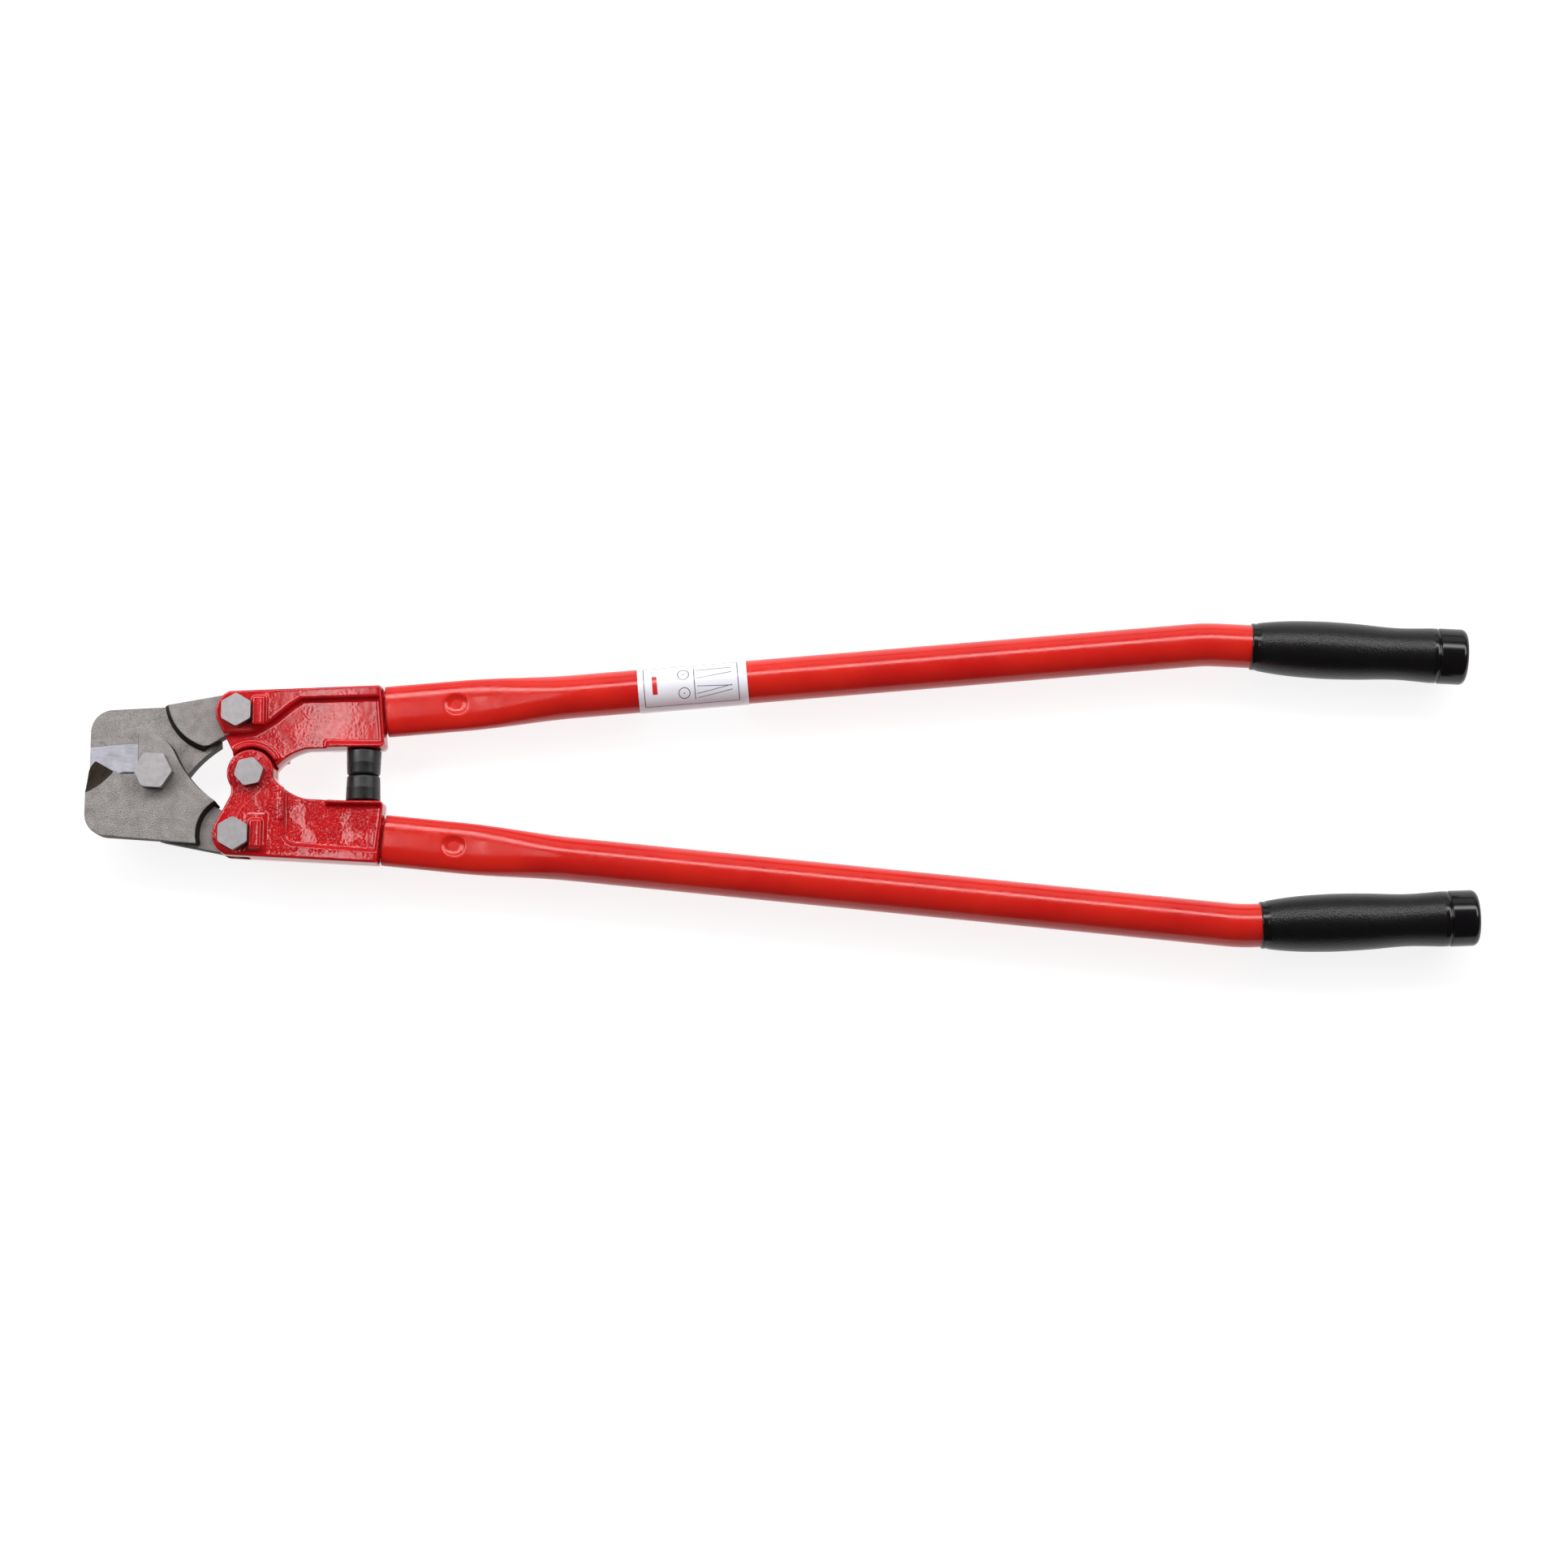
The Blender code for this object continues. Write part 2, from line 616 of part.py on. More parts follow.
def bolt_set(prefix, spec, centre, material, body):
    """A hexagon bolt through the tool, with its washer and nut underneath."""
    seat = HALF + GAP
    bolt = hexagon(centre, spec, seat, seat + spec["head"])
    join(bolt, cylinder(centre, spec["radius"], -nut_bottom(spec) - THREAD_END, seat + 1 * MM))
    washer_radius = (spec["flats"] + WASHER_OVER_FLATS) / 2
    washer = cylinder(centre, washer_radius, -seat - spec["washer"], -seat)
    nut = hexagon(centre, spec, -nut_bottom(spec), -seat - spec["washer"] - GAP)
    for solid in (washer, nut):
        cut(solid, cylinder(centre, spec["radius"] + GAP, -2 * CASTING_THICKNESS, 0))
    for solid, kind in ((bolt, "bolt"), (washer, "washer"), (nut, "nut")):
        fasten(keep(solid, f"{prefix}_{kind}", material), body)


def axis(name, x, y, parent=None):
    empty = bpy.data.objects.new(name, None)
    bpy.data.collections[NAME].objects.link(empty)
    empty.empty_display_size = 20 * MM
    empty.location = (x, y, 0)
    empty.parent = parent
    return empty


def set_down(root):
    """Moves the tool so that its box stands centred over the origin, with its lowest point at zero."""
    bpy.context.view_layer.update()
    graph = bpy.context.evaluated_depsgraph_get()
    points = []
    for obj in bpy.data.collections[NAME].objects:
        if obj.type == "MESH":
            seen = obj.evaluated_get(graph)
            points += [seen.matrix_world @ vertex.co for vertex in seen.data.vertices]
    low = [min(point[i] for point in points) for i in range(3)]
    high = [max(point[i] for point in points) for i in range(3)]
    root.location = (-(low[0] + high[0]) / 2, -(low[1] + high[1]) / 2, -low[2])


def build():
    clear_scene()
    root = axis("tool", 0, 0)
    lower_handle = axis("lower_handle_axis", HANDLE_PIVOT_X, 0, root)
    upper_handle = axis("upper_handle_axis", HANDLE_PIVOT_X, 0, root)
    lower_blade = axis("lower_blade_axis", LINK_X, -LINK_Y, root)
    upper_blade = axis("upper_blade_axis", 0, 0, root)

    blade_steel = finish("sandblasted_steel", "A09B9B", 1.0, 0.5)
    plated = finish("zinc_plated_steel", "A9A5A8", 1.0, 0.4)
    casting_paint = finish("crimson_enamel", "C01424", 0.0, 0.25)
    tube_paint = finish("red_enamel", "D62C1E", 0.0, 0.2)
    rubber = finish("black_rubber", "1D1D1F", 0.0, 0.6)
    grip_plastic = finish("black_grip_plastic", "252525", 0.0, 0.5)
    paper = finish("label_film", "EDEDED", 0.0, 0.4)

    bore = LINK_BOLT["radius"] + GAP
    blade("lower_blade", bore, blade_steel, lower_blade, False)
    blade("upper_blade", bore + LINK_PLAY, blade_steel, upper_blade, True)
    bolt_set("jaw_pivot", JAW_BOLT, (0, 0), plated, lower_blade)
    bolt_set("handle_pivot", HANDLE_BOLT, HANDLE_PIVOT, plated, lower_handle)
    bolt_set("lower_link", LINK_BOLT, LINK, plated, lower_handle)
    bolt_set("upper_link", LINK_BOLT, (LINK_X, LINK_Y), plated, upper_handle)
    sides = (
        ("lower", lower_handle, False, LOWER_BEND_X, LOWER_GRIP_X),
        ("upper", upper_handle, True, UPPER_BEND_X, UPPER_GRIP_X),
    )
    for side, body, over, bend_x, grip_x in sides:
        casting(f"{side}_handle_casting", casting_paint, body, over)
        tube(f"{side}_tube", bend_x, grip_x, tube_paint, body, over)
        grip(f"{side}_grip", bend_x, grip_x, grip_plastic, body, over)
        bumper(f"{side}_bumper", rubber, body, over)
        stud(f"{side}_bumper_stud", plated, body, over)
    label("tube_label", paper, upper_handle, True)
    set_down(root)


build()
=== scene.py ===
"""Heavy bolt cutters: the looks of the tool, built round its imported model.

Shapes are drawn about the jaw bolt, in metres: +X to the grips, +Z up, the lower side at -Y. The upper blade, head
and tube are the lower ones turned over about X, as the real ones are.
"""

import json
import math

import bmesh
import bpy
from mathutils import Matrix, Vector, noise


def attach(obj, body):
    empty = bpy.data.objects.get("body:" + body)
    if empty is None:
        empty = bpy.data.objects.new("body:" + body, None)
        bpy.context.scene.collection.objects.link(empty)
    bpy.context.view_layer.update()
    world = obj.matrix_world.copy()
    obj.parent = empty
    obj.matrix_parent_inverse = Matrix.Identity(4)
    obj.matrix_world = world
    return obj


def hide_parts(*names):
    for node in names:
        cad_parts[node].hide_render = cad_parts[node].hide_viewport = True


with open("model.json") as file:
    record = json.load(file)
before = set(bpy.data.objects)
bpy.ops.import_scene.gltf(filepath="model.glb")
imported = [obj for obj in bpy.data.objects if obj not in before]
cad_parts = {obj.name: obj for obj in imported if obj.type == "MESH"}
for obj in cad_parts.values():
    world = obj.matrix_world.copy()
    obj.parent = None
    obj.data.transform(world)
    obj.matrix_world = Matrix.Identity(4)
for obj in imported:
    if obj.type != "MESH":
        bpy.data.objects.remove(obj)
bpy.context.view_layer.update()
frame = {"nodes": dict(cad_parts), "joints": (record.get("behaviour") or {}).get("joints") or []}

bl_info = {
    "name": "Bolt cutters",
    "version": (1, 0, 0),
    "blender": (4, 5, 0),
    "location": "View3D > Sidebar > Bolt cutters",
    "description": "Builds heavy bolt cutters with cast heads, tube handles and plate blades",
    "category": "Object",
}

MM = 0.001


def mm(*sizes):
    """Metres from millimetres."""
    return [size * MM for size in sizes]


PIVOTS = {joint["name"]: Vector(joint["pos_m"]) for joint in frame["joints"]}
JAW = PIVOTS["jaw_pivot"]
HANDLE = (PIVOTS["handle_pivot"] - JAW).xy
LINK = (PIVOTS["lower_link"] - JAW).xy
PLAY = 0.3 * MM  # between pieces that touch or slide
MOST_FINISHES = 4  # on one piece
TURNED_OVER = Matrix.Rotation(math.pi, 4, "X")
SIDES = {"lower": False, "upper": True}  # whether the piece is turned over
THROUGH = 60 * MM  # longer than any hole is deep
ROUND = 96  # sides of what is round and large

SPLAY, RETURN = math.radians(5.27), math.radians(2.45)  # a tube's slope outwards, and back inwards past its bend
TUBE_Y = -42.2 * MM  # middle of the lower flange
FLANGE_OUT, FLANGE_IN = 17 * MM, 22.6 * MM  # the flange's reach from there
SEAT_Y = 16.8 * MM  # centre line to a bumper's seat
BUMPER_X = 134.2 * MM
EAR_RADIUS = 16 * MM
LINK_BORES = {"lower": 6.3 * MM, "upper": 8.9 * MM}  # through the blades

TUBE_GAP = 1.2 * MM  # left between the flange and the tube
FLAT_LENGTH, ROUND_FROM = 52 * MM, 125 * MM  # where the pressed end starts to turn round, and where it is round
CRIMP_AT, CRIMP_LENGTH, CRIMP_WIDTH = mm(47.5, 8, 6.9)
BEND_RADIUS = 130 * MM
BENDS = {"lower": 706 * MM, "upper": 684.5 * MM}
GRIP_STARTS = {"lower": 718.9 * MM, "upper": 714.3 * MM}
LABEL_AT = 166.5 * MM  # along the tube
GRIP_WIDTHS = [  # distance from the grip's start and diameter, in millimetres
    (0, 30.4), (6, 32), (14, 34.2), (22, 35.8), (32, 37), (47, 37.8), (60, 37.4), (73, 36.4), (87, 34.5), (97, 33.9),
    (108, 34.8), (118, 36), (122, 36.3),
]  # fmt: skip

FASTENERS = {  # place, shank radius, across flats, head, nut, turn in degrees
    "jaw_pivot": ((0, 0), *mm(7, 22, 8.8, 10), 27.0),
    "lower_link": ((LINK.x, LINK.y), *mm(6, 19, 7.5, 9), 0.0),
    "upper_link": ((LINK.x, -LINK.y), *mm(6, 19, 7.5, 9), 0.0),
    "handle_pivot": ((HANDLE.x, HANDLE.y), *mm(5, 17, 6.4, 8), 43.0),
}
SEAT = 13.3 * MM  # under a bolt's head, above the tool's plane
WASHER = 2 * MM
PITCH, THREAD = 1.5 * MM, 0.75 * MM  # a thread's pitch and depth

SHADES = {  # the darker tone that mottles each finish
    "tube enamel": "CA1A18",
    "blasted steel": "7A7573",
    # painted shade: mottle of the black laid on the blades' walls
    "painted shade on walls": "0B0908",
    "ground steel beside the edge": "9C9AA2",
    # mottle of the ground bevel, which is coloured dark brown all over
    "dark brown ground bevel": "2C241D",
    "zinc": "A29E9F",
    "vinyl": "0B090A",
    "rubber": "131315",
    "label film": "ECEAF3",
    "floor": "808080",
}
ZINC, PRINT_GREY, PRINT_RED, WHITE = "B0ACAF", "6E6A78", "D2242C", "FFFFFF"


def length(name, description, size):
    """A length that a user can change, whose default is given in millimetres."""
    return bpy.props.FloatProperty(name=name, description=description, default=size * MM, unit="LENGTH", precision=4)


def angle(name, description, degrees):
    return bpy.props.FloatProperty(name=name, description=description, default=math.radians(degrees), subtype="ANGLE")


def colour(name, description, default):
    """An sRGB hex colour that a user can change."""
    return bpy.props.StringProperty(name=name, description=description, default=default, maxlen=6)


class BladeSettings(bpy.types.PropertyGroup):
    """Sizes and colours of the two blades."""

    plate: length("Plate thickness", "Thickness of a jaw plate", 12.85)
    tail: length("Tail thickness", "Thickness of the tail in the head's fork", 12.0)
    reach: length("Reach", "Jaw bolt to the front of the jaws", 45.0)
    height: length("Height", "Centre line to a blade's back, at the front", 42.3)
    edge: length("Edge radius", "Rounding that the blasting leaves on the rims", 0.7)
    steel: colour("Steel", "Blasted tool steel", "A29D9B")
    ground: colour("Ground steel", "Freshly ground steel beside the edge", "BBBAC4")
    # The ground bevel is coloured dark brown all over
    bevel_brown: colour("Dark bevel steel", "Dark brown steel of the ground bevel", "44392F")
    # Painted shade: the black laid on the blades' step and side walls
    scale: colour("Painted shade on walls", "Black painted as shade on the step and side walls", "15110F")


class HeadSettings(bpy.types.PropertyGroup):
    """Sizes and colours of the two cast handle heads."""

    thickness: length("Thickness", "Thickness of a casting", 26.0)
    reach: length("Reach", "Handle pivot to the end flange", 85.5)
    pocket: length("Pocket depth", "Depth of the recesses in both faces", 4.0)
    draft: length("Draft", "How far the walls lean in from the parting line to a face", 0.8)
    voxel: length("Mesh size", "Size of the cast skin's mesh", 0.6)
    grain: length("Cast grain", "Size of the pebbles that the sand mould leaves", 1.7)
    enamel: colour("Enamel", "Thick crimson enamel", "C8171C")
    shade: colour("Enamel in hollows", "The same enamel where it lies thick", "9A0A16")


class TubeSettings(bpy.types.PropertyGroup):
    """Sizes and colours of the handle tubes, grips and label."""

    radius: length("Tube radius", "Outer radius of the handle tube", 14.2)
    wall: length("Tube wall", "Thickness of the handle tube", 2.0)
    flat_width: length("Flat width", "Width of the end pressed over the tang", 33.4)
    flat_height: length("Flat height", "Height of the end pressed over the tang", 18.6)
    crimp_depth: length("Crimp depth", "Depth of the crimp over the tang", 2.4)
    grip_length: length("Grip length", "Length of a grip", 141.3)
    label_length: length("Label length", "Length of the label along the tube", 71.5)
    enamel: colour("Enamel", "Orange-red enamel", "D8261A")
    grip: colour("Grip", "Black grained sleeve", "131013")
    rubber: colour("Bumper", "Black rubber", "1A1A1C")
    film: colour("Label", "White label film", "F3F1F8")


class StageSettings(bpy.types.PropertyGroup):
    """Camera, lights and floor."""

    distance: length("Camera distance", "Camera to the middle of the tool", 2315.0)
    tilt: angle("Tilt", "The camera's lean towards the lower side", 7.784)
    roll: angle("Roll", "The camera's turn about its own axis", 0.458)
    floor: colour("Floor", "Plain pale floor", "848484")


def polar(centre, radius, degrees):
    """The point at this distance and angle from centre."""
    angle = math.radians(degrees)
    return Vector(centre) + radius * Vector((math.cos(angle), math.sin(angle)))


def arc(centre, radius, start, end, step=4.0):
    """Points on an arc, from one angle in degrees to the other."""
    count = max(2, math.ceil(abs(end - start) / step))
    return [polar(centre, radius, start + (end - start) * i / count) for i in range(count + 1)]


def bowed(start, end, sag, count=12):
    """Points on the shallow curve from start to end that bows to the left of its chord by sag."""
    chord = end - start
    left = Vector((-chord.y, chord.x)).normalized()
    return [start + chord * t + left * 4 * sag * t * (1 - t) for t in (i / count for i in range(count + 1))]


def ease(share):
    """0 to 1, starting and ending gently."""
    share = min(1.0, max(0.0, share))
    return share * share * (3 - 2 * share)


def flat(points, height):
    """A bmesh with one face through these points."""
    bm = bmesh.new()
    bm.faces.new([bm.verts.new((x, y, height)) for x, y in points])
    return bm


def raised(bm, face, height, lean=0.0):
    """Extrudes a face upwards, drawing it in by lean, and gives the new top face."""
    made = bmesh.ops.extrude_face_region(bm, geom=[face])["geom"]
    top = next(item for item in made if isinstance(item, bmesh.types.BMFace))
    if face.is_valid and any(len(edge.link_faces) > 2 for edge in face.edges):
        bmesh.ops.delete(bm, geom=[face], context="FACES_ONLY")
    bmesh.ops.translate(bm, verts=top.verts, vec=(0, 0, height))
    if lean:
        shift_in(top, lean)
    return top


def shift_in(face, distance):
    """Moves each corner of a flat face inwards, so that its sides move by distance."""
    corners = [loop.vert for loop in face.loops]
    face.normal_update()
    turn = math.copysign(1, face.normal.z)
    places = [vert.co.copy() for vert in corners]
    for i, vert in enumerate(corners):
        before = (places[i] - places[i - 1]).normalized()
        after = (places[(i + 1) % len(places)] - places[i]).normalized()
        inwards = Vector((-(before.y + after.y), before.x + after.x, 0)) * turn
        size = inwards.length_squared
        if size > 1e-9:
            vert.co += inwards * min(2.0, 2 / size) * distance


def prism(points, low, high, lean=0.0):
    """A flat outline raised from one height to another."""
    bm = flat(points, low)
    raised(bm, bm.faces[:][0], high - low, lean)
    bmesh.ops.recalc_face_normals(bm, faces=bm.faces)
    return bm


def bevel(bm, edges, radius, segments=3):
    """Rounds these edges."""
    bmesh.ops.bevel(
        bm, geom=edges, offset=radius, offset_type="OFFSET", affect="EDGES", segments=segments,
        profile=0.5, material=-1, clamp_overlap=True,
    )


def block(centre, size, rounding=0.0):
    """A box with rounded edges."""
    bm = bmesh.new()
    bmesh.ops.create_cube(bm, size=1.0, matrix=Matrix.Translation(centre) @ Matrix.Diagonal((*size, 1.0)))
    if rounding:
        bevel(bm, bm.edges[:], rounding)
    return bm


def rod(centre, radius, low, high, sides=64, turn=0.0):
    """A cylinder or a regular prism standing on the tool's plane."""
    bm = bmesh.new()
    place = Matrix.Translation((centre[0], centre[1], (low + high) / 2)) @ Matrix.Rotation(math.radians(turn), 4, "Z")
    bmesh.ops.create_cone(
        bm, cap_ends=True, segments=sides, radius1=radius, radius2=radius, depth=high - low, matrix=place
    )
    return bm


def turned(profile, matrix=Matrix.Identity(4), sides=ROUND):
    """A profile of (radius, height) pairs spun about Z and put in place."""
    bm = bmesh.new()
    points = [bm.verts.new((radius, 0, height)) for radius, height in profile]
    edges = [bm.edges.new(pair) for pair in zip(points, points[1:])]
    if profile[0][0] > 0 and profile[-1][0] > 0:
        edges.append(bm.edges.new((points[-1], points[0])))
    bmesh.ops.spin(
        bm, geom=points + edges, cent=(0, 0, 0), axis=(0, 0, 1), angle=2 * math.pi, steps=sides,
        use_merge=True, use_duplicate=False,
    )
    bmesh.ops.remove_doubles(bm, verts=bm.verts, dist=1e-6)
    bmesh.ops.recalc_face_normals(bm, faces=bm.faces)
    bmesh.ops.transform(bm, matrix=matrix, verts=bm.verts)
    return bm


def coloured(bm, index):
    """Gives every face the finish of this number."""
    for face in bm.faces:
        face.material_index = index
    return bm


def to_object(bm, name):
    """An object made of bm, with slots to spare: a mesh without them drops its faces' finish numbers."""
    mesh = bpy.data.meshes.new(name)
    bm.to_mesh(mesh)
    bm.free()
    for _ in range(MOST_FINISHES):
        mesh.materials.append(None)
    obj = bpy.data.objects.new(name, mesh)
    bpy.context.scene.collection.objects.link(obj)
    return obj


def baked(obj):
    """The object with its modifiers applied."""
    bpy.context.view_layer.update()
    mesh = bpy.data.meshes.new_from_object(obj.evaluated_get(bpy.context.evaluated_depsgraph_get()))
    obj.modifiers.clear()
    obj.data = mesh
    return obj


def carved(base, **shapes):
    """base with Boolean operations done to it in turn, such as union=[...] and then difference=[...]."""
    obj = to_object(base, "carved")
    helpers = []
    for operation, others in shapes.items():
        for other in others:
            helper = to_object(other, "helper")
            modifier = obj.modifiers.new(operation, "BOOLEAN")
            modifier.operation = operation.upper()
            modifier.object = helper
            helpers.append(helper)
    baked(obj)
    for helper in helpers:
        bpy.data.objects.remove(helper)
    return obj


def as_bmesh(obj):
    """The object's mesh to model on; the object goes."""
    bm = bmesh.new()
    bm.from_mesh(obj.data)
    bpy.data.objects.remove(obj)
    return bm


def finished(obj, name, body, nodes, materials, over=False, sharp=30.0):
    """Names a piece, puts it in its place on the tool, and gives it its finish and its body."""
    obj.name = obj.data.name = name
    obj.data.transform(Matrix.Translation(JAW) @ (TURNED_OVER if over else Matrix.Identity(4)))
    slots = obj.data.materials
    while len(slots) > len(materials):
        slots.pop()
    for i, material in enumerate(materials):
        slots[i] = material
    obj.data.shade_smooth()
    obj.data.set_sharp_from_angle(angle=math.radians(sharp))
    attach(obj, body)
    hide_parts(*nodes)
    return obj


def both_sides(make, piece, node, finishes, sharp=30.0, body="handle"):
    """Finishes the lower and the upper one of a piece, each as make(side) builds it."""
    for side, over in SIDES.items():
        finished(make(side), f"{side}_{piece}", f"{side}_{body}", [f"{side}_{node}"], finishes, over, sharp)


def weighted(obj):
    """Keeps flat faces flat in the shading, next to their rounded rims."""
    obj.modifiers.new("flat faces", "WEIGHTED_NORMAL").keep_sharp = True
    return obj


def linear(hex_colour):
    """Linear RGBA of an sRGB hex colour."""
    parts = [int(hex_colour[i : i + 2], 16) / 255 for i in (0, 2, 4)]
    return (*[c / 12.92 if c <= 0.04045 else ((c + 0.055) / 1.055) ** 2.4 for c in parts], 1.0)


class Finish:
    """A Principled material and the nodes that feed it, laid out in the piece's own coordinates."""

    def __init__(self, name, **sockets):
        self.material = bpy.data.materials.new(name)
        self.material.use_nodes = True
        self.tree = self.material.node_tree
        self.shader = self.tree.nodes["Principled BSDF"]
        self.place = self.tree.nodes.new("ShaderNodeTexCoord").outputs["Object"]
        self.normal = None
        for key, value in sockets.items():
            self.shader.inputs[key.replace("_", " ")].default_value = value

    def add(self, kind, settings=(), links=()):
        """Adds a node, sets and links its inputs, and gives its outputs."""
        node = self.tree.nodes.new(kind)
        for key, value in dict(settings).items():
            if isinstance(key, str) and hasattr(node, key):
                setattr(node, key, value)
            else:
                node.inputs[key].default_value = value
        for key, socket in dict(links).items():
            self.tree.links.new(socket, node.inputs[key])
        return node.outputs

    def drive(self, socket, value):
        """Feeds one of the shader's sockets."""
        self.tree.links.new(value, self.shader.inputs[socket])

    def mask(self, name):
        """What the mesh's own attribute of this name says at each point."""
        return self.add("ShaderNodeAttribute", {"attribute_name": name})["Fac"]

    def speckle(self, size, detail=2.0, stretch=None):
        """Noise whose lumps are about size metres across, drawn out along an axis where stretch is under 1."""
        place = self.place
        if stretch:
            place = self.add("ShaderNodeMapping", {"Scale": stretch}, {"Vector": place})["Vector"]
        return self.add("ShaderNodeTexNoise", {"Scale": 1 / size, "Detail": detail}, {"Vector": place})["Fac"]

    def cells(self, size, **settings):
        """Distance from the middle of the nearest of many cells that are about size metres apart."""
        return self.add("ShaderNodeTexVoronoi", {"Scale": 1 / size, **settings}, {"Vector": self.place})["Distance"]

    def spread(self, value, low, high, out_low=0.0, out_high=1.0):
        """value's range from low to high spread over another range."""
        settings = {"From Min": low, "From Max": high, "To Min": out_low, "To Max": out_high}
        return self.add("ShaderNodeMapRange", settings, {"Value": value})["Result"]

    def tint(self, value, dark, light):
        """A colour between two hex colours, by value."""
        settings = {"data_type": "RGBA", 6: linear(dark), 7: linear(light)}
        return self.add("ShaderNodeMix", settings, {0: value})[2]

    def inked(self, base, mask, ink):
        """base, with a hex colour laid over it where mask is 1."""
        return self.add("ShaderNodeMix", {"data_type": "RGBA", 7: linear(ink)}, {0: mask, 6: base})[2]

    def maths(self, operation, *values):
        """The result of a sum on numbers and other nodes' outputs."""
        numbers = {i: value for i, value in enumerate(values) if isinstance(value, (int, float))}
        sockets = {i: value for i, value in enumerate(values) if i not in numbers}
        return self.add("ShaderNodeMath", {"operation": operation, **numbers}, sockets)["Value"]

    def within(self, value, centre, half):
        """1 where value is at most half away from centre."""
        return self.maths("COMPARE", value, centre, half)

    def rectangle(self, along, across, centre, half):
        """1 inside a rectangle of the print, given by its centre and half its sides."""
        sides = [self.within(axis, at, reach) for axis, at, reach in zip((along, across), centre, half)]
        return self.maths("MULTIPLY", *sides)

    def relief(self, height, distance):
        """Bumps the surface by height times distance, over the bumps that it has already."""
        links = {"Height": height}
        if self.normal:
            links["Normal"] = self.normal
        self.normal = self.add("ShaderNodeBump", {"Distance": distance, "Strength": 1.0}, links)["Normal"]
        self.drive("Normal", self.normal)


def enamelled_casting(head):
    """Thick enamel on sand-cast iron: deep gloss over a pebbled skin, which breaks its shine into sparks."""
    finish = Finish("enamelled cast iron")
    cloud = finish.spread(finish.speckle(14 * MM, 3.0), 0.3, 0.7, 0.4, 1.0)
    finish.drive("Base Color", finish.tint(cloud, head.shade, head.enamel))
    finish.drive("Roughness", finish.spread(finish.speckle(3 * MM), 0.3, 0.7, 0.06, 0.12))
    domes = finish.spread(finish.cells(head.grain, feature="SMOOTH_F1"), 0.1, 0.8, 1.0, 0.0)
    finish.relief(finish.speckle(8 * MM, 1.5), 0.05 * MM)
    finish.relief(finish.maths("MULTIPLY", domes, finish.mask("pebbled")), 0.36 * MM)
    return finish.material


def enamelled_tube(tube):
    """Sprayed enamel on drawn tube: high gloss with a faint orange peel."""
    finish = Finish("enamelled drawn tube")
    cloud = finish.spread(finish.speckle(45 * MM), 0.3, 0.7)
    finish.drive("Base Color", finish.tint(cloud, SHADES["tube enamel"], tube.enamel))
    finish.drive("Roughness", finish.spread(finish.speckle(5 * MM), 0.35, 0.65, 0.15, 0.26))
    finish.relief(finish.speckle(7 * MM, 1.0), 0.05 * MM)
    finish.relief(finish.speckle(1.6 * MM, 1.0), 0.02 * MM)
    return finish.material


def blasted_steel(hex_colour):
    """Sand-blasted tool steel: an even, matt grey with a fine grit, mottled where the scale held."""
    finish = Finish("sand-blasted tool steel", Metallic=0.65)
    grit = finish.speckle(0.65 * MM, 3.0)  # real grit marks are 0.2 mm, too fine to show
    both = finish.maths("ADD", grit, finish.spread(finish.speckle(7 * MM, 4.0), 0.2, 0.8, 0.35, 0.65))
    finish.drive("Base Color", finish.tint(finish.spread(both, 0.8, 1.2), SHADES["blasted steel"], hex_colour))
    finish.drive("Roughness", finish.spread(both, 0.7, 1.3, 0.6, 0.48))
    finish.relief(grit, 0.3 * MM)
    return finish.material


def painted_shade_finish(hex_colour):
    """Painted shade for the blades' walls: near-black, dull and slightly rough, laid on the steps and sides so that
    they read dark.
    """
    finish = Finish("painted shade on walls", Metallic=0.2, Roughness=0.62)
    rough = finish.speckle(1.4 * MM, 3.0)
    finish.drive("Base Color", finish.tint(rough, SHADES["painted shade on walls"], hex_colour))
    finish.relief(rough, 0.2 * MM)
    return finish.material


def ground_steel(name, hex_colour, roughness, stretch):
    """Steel from the grinding wheel: fine parallel scratches that stretch its shine across them."""
    finish = Finish(name, Metallic=1.0)
    scratches = finish.speckle(0.5 * MM, 2.0, stretch)
    both = finish.maths("ADD", scratches, finish.speckle(6 * MM))
    finish.drive("Base Color", finish.tint(finish.spread(both, 0.7, 1.3), SHADES[name], hex_colour))
    finish.drive("Roughness", finish.spread(scratches, 0.3, 0.7, roughness, roughness + 0.12))
    finish.relief(scratches, 0.03 * MM)
    return finish.material


def zinc_plate(hex_colour):
    """Dull zinc plate on hexagon stock: soft grey sheen, faintly clouded."""
    finish = Finish("dull zinc plate", Metallic=1.0)
    cloud = finish.spread(finish.speckle(4 * MM, 4.0), 0.3, 0.7)
    fine = finish.speckle(0.7 * MM)
    finish.drive("Base Color", finish.tint(cloud, SHADES["zinc"], hex_colour))
    finish.drive("Roughness", finish.spread(fine, 0.3, 0.7, 0.4, 0.5))
    finish.relief(fine, 0.06 * MM)
    return finish.material


def grained_sleeve(hex_colour):
    """Dipped or moulded vinyl with a fine leathery grain, which breaks its shine into sparkles."""
    finish = Finish("grained vinyl sleeve", Specular_IOR_Level=0.4)
    grained = finish.mask("grained")
    finish.drive("Base Color", finish.tint(finish.speckle(8 * MM), SHADES["vinyl"], hex_colour))
    finish.drive("Roughness", finish.spread(grained, 0.0, 1.0, 0.18, 0.3))
    finish.relief(finish.maths("MULTIPLY", finish.cells(0.8 * MM), grained), 0.13 * MM)
    return finish.material


def bumper_rubber(hex_colour):
    """Moulded rubber: soft sheen with dusty, uneven patches."""
    finish = Finish("moulded black rubber")
    patches = finish.speckle(5 * MM, 4.0)
    finish.drive("Base Color", finish.tint(patches, SHADES["rubber"], hex_colour))
    finish.drive("Roughness", finish.spread(patches, 0.3, 0.7, 0.32, 0.5))
    finish.relief(finish.speckle(1.2 * MM), 0.08 * MM)
    return finish.material


